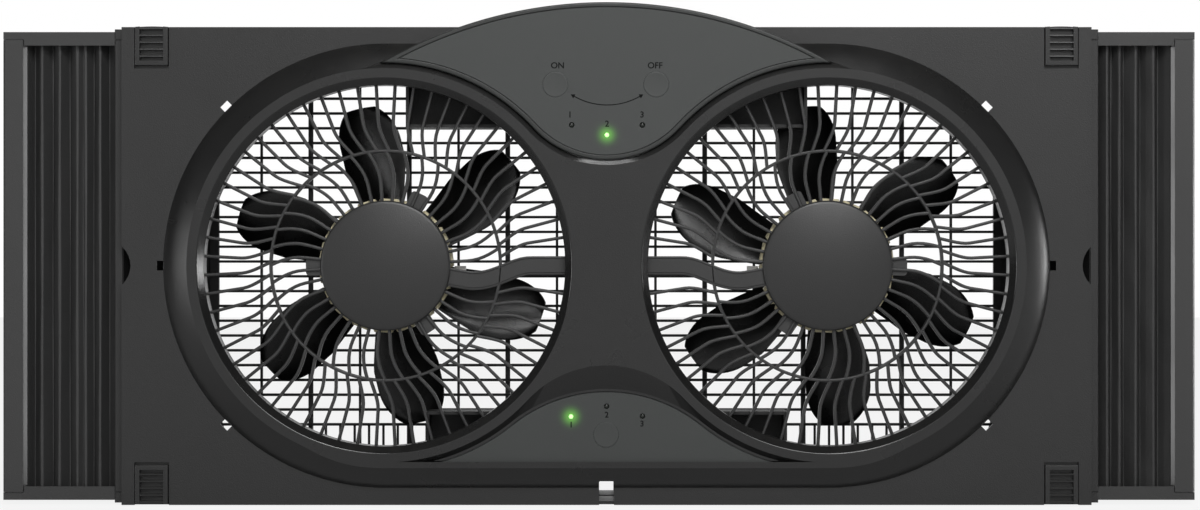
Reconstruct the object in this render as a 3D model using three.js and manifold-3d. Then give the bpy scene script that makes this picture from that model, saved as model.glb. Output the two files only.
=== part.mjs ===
// Twin window fan: a flat housing with two 9-inch fans side by side and a pleated side panel
// that slides out at each end. Millimetres, +Z up, the room side faces -Y.
// The origin is on the sill, midway between the two outermost faces and mid-depth.
import * as THREE from 'three';
import { mergeVertices } from 'three/addons/utils/BufferGeometryUtils.js';
import Module from 'manifold-3d';

const wasm = await Module();
wasm.setup();

// ---- Housing
const housingWidth = 616;
const housingHeight = 303.5;
const housingDepth = 110;
const frontShellDepth = 52; // plate face to the seam between the shells
const plateThickness = 2.5;
const skirtThickness = 2; // top and bottom walls of both shells
const sideWallThickness = 2.5;
const rearWallThickness = 2.5;
const rearTaper = 12; // how much the top and each side draw in towards the back
const shellCornerRadius = 4;
const overlayStand = 1; // control panel face in front of the bezel face

// ---- Gaps
const seatGap = 0.3; // between fixed pieces that touch
const slideGap = 0.5; // around pieces that slide
const buttonGap = 0.35;
const shaftGap = 0.4;
const past = 1; // cutting tools run this far past a face, joined pieces this far into each other

// ---- Fan openings and bezel
const fanSpacing = 281; // between the two fan axes
const fanHeight = 152; // fan axes above the sill
const openingRadius = 114.3; // 9 inches across
const bezelRise = 12; // bezel face in front of the plate
const bezelWall = 2.5;
const chamferWidth = 5.4;
const chamferDepth = 5.2;
const faceRingWidth = 7.9; // flat ring between the chamfer and the shoulder
const shoulderWidth = 13.4;
const lipWall = 3;
const snapSlotOutside = 4.3; // how far the snap slots show outside the bezel
const snapSlotWidth = 6.2;
const snapHookThickness = 1.8;
const snapHookReach = 6; // behind the plate's face
const snapHookGap = 0.6; // to the ends of its slot

// ---- Front grilles
const grilleSetback = 14; // behind the bezel face
const grilleDepth = 5;
const grilleRimWidth = 5.4;
const hubRadius = 41.3;
const hubHoleRadius = 22;
const midRingRadius = 73;
const midRingWidth = 2;
const ribWidth = 2.1;
const outerRibCount = 60;
const innerRibCount = 40;
const armWidth = 12;
const armExtraDepth = 3.5; // the arm is deeper than the ribs
const armEndGap = 2; // the deeper part stays this far inside the arm's outline
const lugWidth = 11;
const lugReach = 9.5; // beyond the hub
const lugRoot = 4; // under the hub
const lugThickness = 3;
const lugAngles = [64, 181, 304];
const ribSweep = 10.2; // degrees turned between hub and rim
const ribSweepStart = 52; // radius where the turn begins
const ribSweepEnd = 92;
const ringSegments = 40;

// ---- Hub caps, motors and impellers
const hubCapDome = 3.2;
const hubCapEdge = 3;
const motorRadius = 36;
const motorLength = 26;
const windingRadius = 43;
const windingLength = 12;
const windingTeeth = 18;
const windingSlotDepth = 3;
const shaftRadius = 4;
const shaftTail = 5; // shaft end behind the nut
const shaftSetback = 2; // its front end behind the motor's face
const motorEdge = 3;
const impellerRadius = 104;
const impellerHubRadius = 35;
const impellerHubLength = 33;
const impellerWall = 2.4;
const impellerMotorGap = 3;
const impellerEdge = 4; // bevel at the back of the hub
const bladeCount = 6;
const bladeRootChord = 26; // seen from the front, along the turn
const bladeMiddleChord = 42;
const bladeTipChord = 41;
const bladeRootTwist = 25; // front edge to back edge along the axis
const bladeTipTwist = 15;
const bladeThickness = 2;
const bladeCamber = 2.5;
const bladeTipStart = 0.7; // share of the length where the tip begins to round off
const bladeTipRound = 0.34; // share of the length the rounding would take to close
const bladeSweep = 3; // degrees from root to tip
const nutRadius = 9;
const nutLength = 6;
const nutFacets = 6;
const connectorWidth = 7;
const connectorHeight = 5;
const connectorLength = 8;

// ---- Top control panel
const crownRadius = 280.6; // its upper edge
const crownCentreDrop = 117.4; // below the fan axes
const panelNeckOutside = 6.4; // its flanks stay this far outside the bezel's face
const panelToeRise = 122.1; // centre of the rounded toe between the fans, above their axes
const panelRim = 3.8;
const panelGroove = 2.9;
const panelGrooveDepth = 2;
const panelWall = 2;
const panelDepth = 18.5;
const overlayThickness = 0.6;
const panelCoverThickness = 1.8;

// ---- Bottom function panel
const recessDepth = 3.5;
const recessLap = 2; // of its floor under the bezel's face
const recessNeckInside = 1.4; // of the edge of the bezel's face
const recessArchDrop = 124.5; // centre of its arch, below the fan axes
const functionNeckOutside = 1.6;
const functionArchDrop = 174.9;
const functionFootRise = 2.4; // above the lower edge of the bezel's face
const functionRim = 1.9;
const functionPanelThickness = 3;

// ---- Buttons, lamps and boards
const buttonRadius = 7.8;
const buttonTravel = 1;
const lampRadius = 1.5;
const lampSink = 0.1;
const boardThickness = 1.6;
// Places on the panels: sideways, and up from the fan axes.
const speedButtonPlace = [-32.4, 114.4];
const offButtonPlace = [31.3, 114.4];
const functionButtonPlace = [-0.3, -106.9];
const speedLampPlaces = [[-22, 88.8], [0.2, 82.6], [22.6, 88.8]];
const functionLampPlaces = [[-22.5, -95.4], [0, -88.9], [22.7, -95.1]];
const buttonFlange = 1.2;
const controlBoardSize = [92, 50];
const controlBoardRise = 104; // its middle, above the fan axes
const functionBoardSize = [70, 36];
const functionBoardDrop = 102;
const topBoxHalfWidth = 128;
const topBoxRise = 88; // its lower edge, above the fan axes
const bottomBoxHalfWidth = 115;
const bottomBoxDrop = 93; // its upper edge, below the fan axes
const wiringBoxDepth = 28;
const wiringBoxWall = 2;

// ---- Bottom notch
const notchWidth = 9.5;
const notchHeight = 15.5;
const notchSkirtDepth = 6;

// ---- Side panels
const leftReach = 77.1; // beyond the housing, drawn out
const rightReach = 67.5;
const railHeight = 8.6;
const railDepth = 18;
const railWall = 1.6;
const railSetback = 11; // rail face behind the plate's face
const railOverlap = 40; // left inside the housing when drawn out
const railTongue = 4.8; // height of the tongue over the end bar
const railEdgeGap = 0.4; // to the skirts
const endBarWidth = 12.7;
const endBarProud = 1; // end bar face in front of the rail face
const channelWidth = 5.4;
const channelProud = 2;
const channelEdge = 0.8;
const pleatCount = 5;
const pleatDepth = 10;
const pleatThickness = 0.8;
const foldedWidth = 12.5; // of the pleats, pushed in
const fingerNotchRadius = 16.3;
const fingerNotchDepth = 5.7;
const fingerNotchBack = 8; // how far it goes in behind the plate's face
const curtainEndGap = 1.8; // to the end bar
const tongueRoot = 1.2; // of the tongue, inside the channel's end
const endBarEdge = 1.2;

// ---- Corner locks
const lockWidth = 21;
const lockHeight = 25;
const lockInset = 8.6; // from the housing's side
const lockStand = 1.5; // in front of the plate
const lockProud = 0.6; // upper locks stand above the housing
const lockShort = 0.3; // lower locks stay above the sill
const lockBorder = 3.2;
const lockRecess = 2.2;
const lockRibCount = 5;
const lockRibSink = 0.3; // below the border
const lockRibRoot = 0.5; // into the border and the floor
const lockTravel = 1.4;
const lockFlange = 1.6;
const lockFlangeLap = 2;
const lockPawlWidth = 6;
const lockPawlHeight = 4;
const lockPawlGap = 0.5;

// ---- Rear guard and screws
const guardSideInset = 48; // the rear opening stays this far inside the housing's outline
const guardTopInset = 25.5;
const guardBottom = 27;
const guardLowerCorner = 25;
const guardUpperCorner = 12;
const guardLap = 3; // of the guard's frame behind the opening's edge
const guardFrameWidth = 6;
const guardDepth = 4;
const guardBarPitch = 9.83;
const guardBarThickness = 1.7;
const guardLowestBar = 19.3; // above the opening's lower edge
const guardHighestBar = 15; // at least this far below its upper edge
const guardPostPitch = 32.75; // every second one is thick
const guardLastPost = 20; // at least this far inside the opening's side
const guardPostWidth = 3.2;
const guardThinPostWidth = 1.7;
const guardPostDepth = 2.2;
const screwSideInset = 24;
const screwTopInset = 58.5;
const lowerScrewHeight = 60;
const footScrewPlace = [150, 16];
const screwRadius = 1.5;
const screwHeadRadius = 3.2;
const screwHeadHeight = 2;
const screwReach = 12; // into the front shell's bosses
const screwHoleReach = 14;
const bossRadius = 4.6;
const cordInletRadius = 6;
const cordHoleRadius = 3.6;
const cordInletFlange = 2; // thickness and lap behind the rear wall
const cordInletPlace = [40, 14];

// ---- Levels from front to back and other sizes worked out from the above
const panelY = -housingDepth / 2;
const bezelY = panelY + overlayStand;
const plateY = bezelY + bezelRise;
const seamY = plateY + frontShellDepth;
const backY = housingDepth / 2;
const plateBackY = plateY + plateThickness;
const grilleY = bezelY + grilleSetback;
const grilleBackY = grilleY + grilleDepth;
const halfWidth = housingWidth / 2;
const fanX = fanSpacing / 2;
const grilleRimRadius = openingRadius + grilleRimWidth;
const chamferRadius = openingRadius + chamferWidth;
const bezelFaceRadius = chamferRadius + faceRingWidth;
const bezelBaseRadius = bezelFaceRadius + shoulderWidth;
const crownCentreHeight = fanHeight - crownCentreDrop;
const panelToeHeight = fanHeight + panelToeRise;
const panelNeckRadius = bezelFaceRadius + panelNeckOutside;
const recessNeckRadius = bezelFaceRadius - recessNeckInside;
const recessArchHeight = fanHeight - recessArchDrop;
const functionNeckRadius = bezelFaceRadius + functionNeckOutside;
const functionArchHeight = fanHeight - functionArchDrop;
const functionFootHeight = fanHeight - bezelFaceRadius + functionFootRise;
const guardHalfWidth = halfWidth - guardSideInset;
const guardTop = housingHeight - guardTopInset;
const screwPlaces = [
  [halfWidth - screwSideInset, lowerScrewHeight],
  [halfWidth - screwSideInset, housingHeight - screwTopInset],
  footScrewPlace,
];
const plateHoleRadius = grilleRimRadius + 2 * slideGap;
const panelCoverY = panelY + panelDepth + seatGap;
const panelCoverBackY = panelCoverY + panelCoverThickness;
const wiringBoxY = Math.max(panelCoverBackY, grilleBackY) + seatGap;
const railY = plateY + railSetback;
const railBackY = railY + railDepth;
const railBottom = skirtThickness + railEdgeGap;
const railTop = housingHeight - skirtThickness - railEdgeGap;
const sides = [
  { name: 'left', sign: -1, reach: leftReach, firstBlade: 38 },
  { name: 'right', sign: 1, reach: rightReach, firstBlade: 21 },
];

// ---- Materials
function finish(color, roughness, metalness = 0) {
  return () => new THREE.MeshStandardMaterial({ color, roughness, metalness });
}

const charcoal = finish(0x3f3f3f, 0.5);
const panelGrey = finish(0x3a3c3b, 0.45);
const overlayGrey = finish(0x49504e, 0.35);
const grilleGrey = finish(0x454545, 0.5);
const bladeBlack = finish(0x151515, 0.2);
const innerBlack = finish(0x1a1a1a, 0.6);
const curtainGrey = finish(0x3c3c3c, 0.75);
const steel = finish(0x9a9a9a, 0.35, 1);
const zinc = finish(0x8c8c88, 0.5, 1);
const cream = finish(0xd9cfa8, 0.55);
const white = finish(0xe8e6df, 0.5);
const boardGreen = finish(0x24583a, 0.5);
const lampGreen = finish(0x6cf05a, 0.25);
const lampDark = finish(0x2c302c, 0.3);
const rubberBlack = finish(0x111111, 0.8);

// ---- Solids
function solidOf(geometry) {
  const bare = geometry.index ? geometry.toNonIndexed() : geometry.clone();
  bare.deleteAttribute('normal');
  bare.deleteAttribute('uv');
  const merged = mergeVertices(bare, 1e-4);
  return new wasm.Manifold(
    new wasm.Mesh({
      numProp: 3,
      vertProperties: new Float32Array(merged.attributes.position.array),
      triVerts: new Uint32Array(merged.index.array),
    }),
  );
}

function geometryOf(solid) {
  const mesh = solid.getMesh();
  const geometry = new THREE.BufferGeometry();
  geometry.setAttribute('position', new THREE.BufferAttribute(new Float32Array(mesh.vertProperties), 3));
  geometry.setIndex(new THREE.BufferAttribute(new Uint32Array(mesh.triVerts), 1));
  geometry.computeVertexNormals();
  return geometry;
}

function join(...solids) {
  return solids.reduce((sum, next) => sum.add(next));
}

function cut(body, ...tools) {
  return tools.reduce((rest, tool) => rest.subtract(tool), body);
}

function block(x0, x1, y0, y1, z0, z1) {
  const geometry = new THREE.BoxGeometry(x1 - x0, y1 - y0, z1 - z0);
  geometry.translate((x0 + x1) / 2, (y0 + y1) / 2, (z0 + z1) / 2);
  return solidOf(geometry);
}

// A flat outline in X and Z, from y0 in front to y1 behind.
function slab(outline, y0, y1, curveSegments = 12) {
  const shape = outline instanceof THREE.Shape ? outline : new THREE.Shape(outline);
  const geometry = new THREE.ExtrudeGeometry(shape, { depth: y1 - y0, bevelEnabled: false, curveSegments });
  geometry.rotateX(Math.PI / 2);
  geometry.translate(0, y1, 0);
  return solidOf(geometry);
}

// A turned form about the Y axis through (x, z); profile points are [radius, y].
function turned(profile, x, z, segments = 48) {
  const points = profile.map(([radius, y]) => new THREE.Vector2(radius, y));
  const signedArea = THREE.ShapeUtils.area(points);
  if (signedArea < 0) points.reverse();
  const first = points[0];
  const last = points[points.length - 1];
  if (first.x > 0 || last.x > 0) points.push(first.clone());
  const geometry = new THREE.LatheGeometry(points, segments);
  geometry.translate(x, 0, z);
  return solidOf(geometry);
}

function disc(x, z, radius, y0, y1, segments = 32) {
  return turned([[0, y0], [radius, y0], [radius, y1], [0, y1]], x, z, segments);
}

// A solid between equal-length outlines, each at its own depth, front outline first.
function loft(sections) {
  const count = sections[0].outline.length;
  const positions = sections.flatMap(({ outline, y }) => outline.flatMap((point) => [point.x, y, point.y]));
  const index = [];
  for (let s = 0; s + 1 < sections.length; s += 1) {
    for (let i = 0; i < count; i += 1) {
      const a = s * count + i;
      const b = s * count + ((i + 1) % count);
      index.push(a, a + count, b, b, a + count, b + count);
    }
  }
  const caps = [
    { section: 0, flip: false },
    { section: sections.length - 1, flip: true },
  ];
  for (const { section, flip } of caps) {
    for (const [a, b, c] of THREE.ShapeUtils.triangulateShape(sections[section].outline, [])) {
      const corners = flip ? [a, c, b] : [a, b, c];
      index.push(...corners.map((corner) => section * count + corner));
    }
  }
  const geometry = new THREE.BufferGeometry();
  geometry.setAttribute('position', new THREE.Float32BufferAttribute(positions, 3));
  geometry.setIndex(index);
  return solidOf(geometry);
}

// ---- Outlines
function arc(cx, cz, radius, from, to, steps) {
  return Array.from({ length: steps + 1 }, (_, i) => {
    const angle = from + ((to - from) * i) / steps;
    return new THREE.Vector2(cx + radius * Math.cos(angle), cz + radius * Math.sin(angle));
  });
}

// Round ends about both fan axes, straight between them.
function stadium(radius, steps = 15) {
  const quarter = Math.PI / 2;
  return [
    ...arc(fanX, fanHeight, radius, -quarter, quarter, steps),
    ...arc(-fanX, fanHeight, radius, quarter, 3 * quarter, steps),
  ];
}

function roundedBox(x0, x1, z0, z1, lower, upper, steps = 3) {
  const quarter = Math.PI / 2;
  return [
    ...arc(x1 - lower, z0 + lower, lower, -quarter, 0, steps),
    ...arc(x1 - upper, z1 - upper, upper, 0, quarter, steps),
    ...arc(x0 + upper, z1 - upper, upper, quarter, 2 * quarter, steps),
    ...arc(x0 + lower, z0 + lower, lower, 2 * quarter, 3 * quarter, steps),
  ];
}

// The shape between the two fans: an edge that follows each fan's circle and a rounded tip
// between them, closed by the crown's arc above or a straight foot below.
function waistSide(neckRadius, tipHeight, tipAngle, steps) {
  const toTip = Math.atan2(tipHeight - fanHeight, fanX);
  const tipRadius = Math.hypot(fanX, tipHeight - fanHeight) - neckRadius;
  const flank = arc(-fanX, fanHeight, neckRadius, tipAngle, toTip, steps);
  const up = tipHeight > fanHeight;
  const from = up ? toTip - Math.PI : toTip + Math.PI;
  const to = up ? -Math.PI / 2 : Math.PI / 2;
  const half = [...flank, ...arc(0, tipHeight, tipRadius, from, to, steps).slice(1)];
  const mirrored = half.slice(0, -1).reverse().map((point) => new THREE.Vector2(-point.x, point.y));
  return [...half, ...mirrored];
}

function crownOutline(grow, steps = 7) {
  const neckRadius = panelNeckRadius - grow;
  const upperRadius = crownRadius + grow;
  // Where the crown's circle meets the circle round the left fan axis.
  const gap = Math.hypot(fanX, fanHeight - crownCentreHeight);
  const reach = (upperRadius ** 2 - neckRadius ** 2 + gap ** 2) / (2 * gap);
  const offset = Math.sqrt(upperRadius ** 2 - reach ** 2);
  const alongX = -fanX / gap;
  const alongZ = (fanHeight - crownCentreHeight) / gap;
  const tipX = reach * alongX + offset * alongZ;
  const tipZ = crownCentreHeight + reach * alongZ - offset * alongX;
  const tipAngle = Math.atan2(tipZ - fanHeight, tipX + fanX);
  const crownAngle = Math.atan2(tipZ - crownCentreHeight, -tipX);
  const lower = waistSide(neckRadius, panelToeHeight, tipAngle, steps);
  const upper = arc(0, crownCentreHeight, upperRadius, crownAngle, Math.PI - crownAngle, 2 * steps);
  return [...lower, ...upper.slice(1, -1)];
}

function archOutline(neckRadius, archHeight, foot, steps = 7) {
  // The foot can't lie below the fan's own circle.
  const tipAngle = -Math.asin(Math.min((fanHeight - foot) / neckRadius, 0.998));
  return waistSide(neckRadius, archHeight, tipAngle, steps).reverse();
}

function functionOutline(grow) {
  return archOutline(functionNeckRadius - grow, functionArchHeight, functionFootHeight - grow / 2);
}

// ---- Front shell
function snapAngles(sign) {
  return [-45, 0, 45].map((angle) => (sign > 0 ? angle : 180 - angle));
}

// A small block across a radius of one of the fans.
function radialBlock(sign, degrees, r0, r1, width, y0, y1) {
  const geometry = new THREE.BoxGeometry(r1 - r0, y1 - y0, width);
  geometry.translate((r0 + r1) / 2, (y0 + y1) / 2, 0);
  geometry.rotateY(THREE.MathUtils.degToRad(-degrees));
  geometry.translate(sign * fanX, 0, fanHeight);
  return solidOf(geometry);
}

function mirroredBlock(sign, x0, x1, y0, y1, z0, z1) {
  return sign > 0 ? block(x0, x1, y0, y1, z0, z1) : block(-x1, -x0, y0, y1, z0, z1);
}

function lockPocket(sign, upper) {
  const outer = halfWidth - lockInset + slideGap;
  const inner = outer - lockWidth - 2 * slideGap;
  const depth = lockHeight - (upper ? lockProud : -lockShort) + lockTravel + slideGap;
  const reach = plateBackY + seatGap + lockFlange + slideGap;
  return upper
    ? mirroredBlock(sign, inner, outer, plateY - past, reach, housingHeight - depth, housingHeight + past)
    : mirroredBlock(sign, inner, outer, plateY - past, reach, -past, depth);
}

function notchTool(y0, y1, bottom) {
  return block(-notchWidth / 2, notchWidth / 2, y0, y1, bottom, notchHeight);
}

function railWindow(sign, x0, x1) {
  const y0 = railY - slideGap;
  const y1 = railBackY + slideGap;
  return join(
    mirroredBlock(sign, x0, x1, y0, y1, railBottom - railEdgeGap, railBottom + railHeight + slideGap),
    mirroredBlock(sign, x0, x1, y0, y1, railTop - railHeight - slideGap, railTop + railEdgeGap),
  );
}

function frontShell() {
  const tray = cut(
    block(-halfWidth, halfWidth, plateY, seamY, 0, housingHeight),
    block(
      -halfWidth + sideWallThickness, halfWidth - sideWallThickness, plateBackY, seamY + past,
      skirtThickness, housingHeight - skirtThickness,
    ),
  );
  const bosses = [];
  const tools = [
    slab(crownOutline(panelRim + seatGap), plateY - past, panelCoverBackY + seatGap),
    notchTool(plateY - past, plateY + notchSkirtDepth, -past),
  ];
  for (const { sign } of sides) {
    tools.push(disc(sign * fanX, fanHeight, plateHoleRadius, plateY - past, plateBackY + past, ringSegments));
    tools.push(railWindow(sign, halfWidth - sideWallThickness - past, halfWidth + past));
    tools.push(lockPocket(sign, true), lockPocket(sign, false));
    const notchX = sign * (halfWidth - fingerNotchDepth + fingerNotchRadius);
    tools.push(disc(notchX, fanHeight, fingerNotchRadius, plateY - past, plateY + fingerNotchBack, 32));
    for (const angle of snapAngles(sign)) {
      const outer = bezelBaseRadius + snapSlotOutside;
      const inner = bezelBaseRadius - bezelWall - snapHookThickness;
      tools.push(radialBlock(sign, angle, inner, outer, snapSlotWidth, plateY - past, plateBackY + past));
    }
    for (const [x, z] of screwPlaces) {
      bosses.push(disc(sign * x, z, bossRadius, plateBackY - past, seamY, 10));
      tools.push(disc(sign * x, z, screwRadius + seatGap, seamY - screwHoleReach, seamY + past, 6));
    }
  }
  return cut(join(tray, ...bosses), ...tools);
}

// ---- Bezel
function shoulder(radius, depth, offset, y, steps) {
  return Array.from({ length: steps + 1 }, (_, i) => {
    const turn = (Math.PI / 2) * (1 - i / steps);
    return { outline: stadium(radius + offset * Math.cos(turn)), y: y - depth * Math.sin(turn) };
  });
}

function frontBezel() {
  const baseY = plateY - seatGap;
  const rise = baseY - bezelY;
  const flare = bezelBaseRadius - bezelFaceRadius;
  const outer = loft(shoulder(bezelFaceRadius, rise, flare, baseY, 3));
  const inner = loft([
    ...shoulder(bezelFaceRadius - bezelWall, rise - bezelWall, flare, baseY, 2),
    { outline: stadium(bezelBaseRadius - bezelWall), y: baseY + past },
  ]);
  const lipY = grilleY - seatGap;
  const lipRootY = bezelY + bezelWall / 2;
  const flareRadius = chamferRadius + (chamferWidth * past) / chamferDepth;
  const parts = [];
  const tools = [];
  for (const { sign } of sides) {
    const x = sign * fanX;
    parts.push(turned([
      [0, lipRootY],
      [chamferRadius + lipWall, lipRootY],
      [openingRadius + lipWall, lipY],
      [0, lipY],
    ], x, fanHeight, ringSegments));
    tools.push(turned([
      [0, bezelY - past],
      [flareRadius, bezelY - past],
      [openingRadius, bezelY + chamferDepth],
      [openingRadius, lipY + past],
      [0, lipY + past],
    ], x, fanHeight, ringSegments));
    for (const angle of snapAngles(sign)) {
      const r1 = bezelBaseRadius - seatGap;
      const hookWidth = snapSlotWidth - 2 * snapHookGap;
      const y1 = plateY + snapHookReach;
      parts.push(radialBlock(sign, angle, r1 - snapHookThickness, r1, hookWidth, baseY - past, y1));
    }
  }
  const crownEdge = panelRim + seatGap;
  const grooveSlope = panelGroove / panelGrooveDepth;
  const pocket = loft([
    { outline: crownOutline(crownEdge + panelGroove + grooveSlope * past), y: bezelY - past },
    { outline: crownOutline(crownEdge), y: bezelY + panelGrooveDepth },
    { outline: crownOutline(crownEdge), y: plateY + past },
  ]);
  const recessFoot = functionFootHeight - functionRim;
  const recess = loft([
    { outline: archOutline(recessNeckRadius, recessArchHeight, recessFoot), y: bezelY - past },
    { outline: archOutline(recessNeckRadius, recessArchHeight, recessFoot), y: bezelY },
    { outline: functionOutline(functionRim), y: bezelY + recessDepth },
  ]);
  const recessFloor = cut(
    loft([
      {
        outline: archOutline(recessNeckRadius - recessLap, recessArchHeight, recessFoot - recessLap),
        y: bezelY + bezelWall / 2,
      },
      { outline: functionOutline(functionRim + recessLap), y: bezelY + recessDepth + bezelWall },
    ]),
    slab(functionOutline(seatGap), bezelY - past, plateY),
  );
  const body = join(cut(outer, inner), recessFloor, ...parts);
  return cut(body, ...tools, pocket, recess, notchTool(bezelY - past, plateY + past, -past));
}

// ---- Control panel, function panel and their electronics
const overlayY = panelY + seatGap;
const panelFloorY = overlayY + overlayThickness + seatGap;
const panelFaceBackY = panelFloorY + panelWall;
const functionOverlayY = bezelY + recessDepth - overlayThickness - seatGap;
const functionPanelY = functionOverlayY + overlayThickness + seatGap;
const functionFaceBackY = functionPanelY + functionPanelThickness;

function controlHoles(buttonPlaces, lampPlaces, y0, y1) {
  return join(
    ...buttonPlaces.map(([x, rise]) => disc(x, fanHeight + rise, buttonRadius + buttonGap, y0, y1, 16)),
    ...lampPlaces.map(([x, rise]) => disc(x, fanHeight + rise, lampRadius + seatGap, y0, y1, 6)),
  );
}

function speedHoles(y0, y1) {
  return controlHoles([speedButtonPlace, offButtonPlace], speedLampPlaces, y0, y1);
}

function functionHoles(y0, y1) {
  return controlHoles([functionButtonPlace], functionLampPlaces, y0, y1);
}

function topControlPanel() {
  return cut(
    slab(crownOutline(panelRim), panelY, panelY + panelDepth),
    slab(crownOutline(panelRim - panelWall), panelFaceBackY, panelY + panelDepth + past),
    slab(crownOutline(seatGap), panelY - past, panelFloorY),
    speedHoles(panelFloorY - past, panelFaceBackY + past),
  );
}

function topOverlay() {
  const sheet = slab(crownOutline(0), overlayY, overlayY + overlayThickness);
  return cut(sheet, speedHoles(overlayY - past, panelFloorY));
}

function topPanelCover() {
  const sheet = slab(crownOutline(panelRim), panelCoverY, panelCoverBackY);
  return cut(sheet, disc(0, panelToeHeight, cordHoleRadius, panelCoverY - past, panelCoverBackY + past, 12));
}

function functionPanel() {
  const sheet = slab(functionOutline(0), functionPanelY, functionFaceBackY);
  return cut(sheet, functionHoles(functionPanelY - past, functionFaceBackY + past));
}

function functionOverlay() {
  const sheet = slab(functionOutline(-seatGap), functionOverlayY, functionOverlayY + overlayThickness);
  return cut(sheet, functionHoles(functionOverlayY - past, functionPanelY));
}

// A round cap flush with its overlay, held by a flange behind the panel's face.
function button([x, rise], frontY, faceBackY) {
  const flangeY = faceBackY + seatGap;
  const backY0 = flangeY + buttonFlange;
  return turned([
    [0, frontY],
    [buttonRadius, frontY],
    [buttonRadius, flangeY],
    [buttonRadius + buttonFlange, flangeY],
    [buttonRadius + buttonFlange, backY0],
    [0, backY0],
  ], x, fanHeight + rise, 16);
}

function boardFrontY(faceBackY) {
  return faceBackY + seatGap + buttonFlange + buttonTravel + seatGap;
}

function lamp([x, rise], frontY, faceBackY) {
  const y0 = frontY + lampSink;
  return turned([
    [0, y0],
    [lampRadius * 0.7, y0 + lampRadius * 0.2],
    [lampRadius, y0 + lampRadius * 0.7],
    [lampRadius, boardFrontY(faceBackY) - seatGap],
    [0, boardFrontY(faceBackY) - seatGap],
  ], x, fanHeight + rise, 6);
}

function controlBoard() {
  const [width, height] = controlBoardSize;
  const y0 = boardFrontY(panelFaceBackY);
  const y1 = y0 + boardThickness;
  const middle = fanHeight + controlBoardRise;
  const blank = block(-width / 2, width / 2, y0, y1, middle - height / 2, middle + height / 2);
  return blank.intersect(slab(crownOutline(panelRim - panelWall - seatGap), y0 - past, y1 + past));
}

function functionBoard() {
  const [width, height] = functionBoardSize;
  const y0 = boardFrontY(functionFaceBackY);
  const middle = fanHeight - functionBoardDrop;
  return block(-width / 2, width / 2, y0, y0 + boardThickness, middle - height / 2, middle + height / 2);
}

// A shallow box, open towards the front.
function wiringBox(boxHalfWidth, bottom, top) {
  const y1 = wiringBoxY + wiringBoxDepth;
  const wall = wiringBoxWall;
  return cut(
    block(-boxHalfWidth, boxHalfWidth, wiringBoxY, y1, bottom, top),
    block(-boxHalfWidth + wall, boxHalfWidth - wall, wiringBoxY - past, y1 - wall, bottom + wall, top - wall),
  );
}

// ---- Front grilles
function sweepAngle(radius) {
  return -ribSweep * (1 - THREE.MathUtils.smoothstep(radius, ribSweepStart, ribSweepEnd));
}

// A point of the left fan at a radius and an angle, mirrored for the right fan.
function fanPoint(sign, radius, degrees) {
  const angle = THREE.MathUtils.degToRad(degrees);
  return new THREE.Vector2(sign * (fanX - radius * Math.cos(angle)), fanHeight + radius * Math.sin(angle));
}

// One side of a rib or arm through the given radii; the swirl turns it between hub and rim.
function swirlSide(sign, degrees, radii, offset) {
  return radii.map((radius) => (
    fanPoint(sign, radius, degrees + sweepAngle(radius) + THREE.MathUtils.radToDeg(offset / radius))
  ));
}

// The arm lies at angle 0 and takes the place of the two ribs beside it.
function zoneBars(ribCount) {
  const ribs = spread(1, ribCount - 2, ribCount - 3).map((i) => (
    { degrees: ((i + 0.5) * 360) / ribCount, halfWidth: ribWidth / 2 }
  ));
  return [{ degrees: 0, halfWidth: armWidth / 2 }, ...ribs];
}

// The open cells of one zone of the grille, each between two neighbouring bars.
function zoneCells(sign, ribCount, radii) {
  const bars = zoneBars(ribCount);
  return bars.map((bar, i) => {
    const next = bars[(i + 1) % bars.length];
    const nextDegrees = i + 1 < bars.length ? next.degrees : next.degrees + 360;
    const near = swirlSide(sign, bar.degrees, radii, bar.halfWidth);
    const far = swirlSide(sign, nextDegrees, radii, -next.halfWidth);
    return [...near, ...far.reverse()];
  });
}

function spread(from, to, steps) {
  return Array.from({ length: steps + 1 }, (_, i) => from + ((to - from) * i) / steps);
}

function frontGrille(sign) {
  const x = sign * fanX;
  const round = (radius, steps) => arc(x, fanHeight, radius, 0, 2 * Math.PI, steps).slice(0, -1);
  const innerRadii = spread(hubRadius - past, midRingRadius - midRingWidth / 2, 2);
  const bend = (midRingRadius + ribSweepEnd) / 2;
  const outerRadii = [midRingRadius + midRingWidth / 2, bend, openingRadius];
  const face = new THREE.Shape(round(grilleRimRadius, ringSegments));
  const cells = [
    round(hubHoleRadius, ringSegments / 2),
    ...zoneCells(sign, innerRibCount, innerRadii),
    ...zoneCells(sign, outerRibCount, outerRadii),
  ];
  face.holes = cells.map((cell) => new THREE.Path(cell));
  const channelRadii = [...spread(windingRadius + armEndGap, ribSweepEnd, 4), openingRadius + armEndGap];
  const channelHalfWidth = armWidth / 2 - armEndGap;
  const channel = [
    ...swirlSide(sign, 0, channelRadii, channelHalfWidth),
    ...swirlSide(sign, 0, channelRadii, -channelHalfWidth).reverse(),
  ];
  const lugs = lugAngles.map((angle) => radialBlock(
    sign, sign > 0 ? 180 - angle : angle, hubRadius - lugRoot, hubRadius + lugReach,
    lugWidth, grilleBackY - lugThickness, grilleBackY,
  ));
  return join(
    slab(face, grilleY, grilleBackY),
    slab(channel, grilleBackY - past, grilleBackY + armExtraDepth),
    ...lugs,
  );
}

// ---- Hub caps, motors and impellers
const motorY = grilleBackY + seatGap;
const motorBackY = motorY + motorLength;
const impellerY = motorBackY + impellerMotorGap;
const impellerBackY = impellerY + impellerHubLength;
const nutY = impellerBackY + seatGap;

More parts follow.
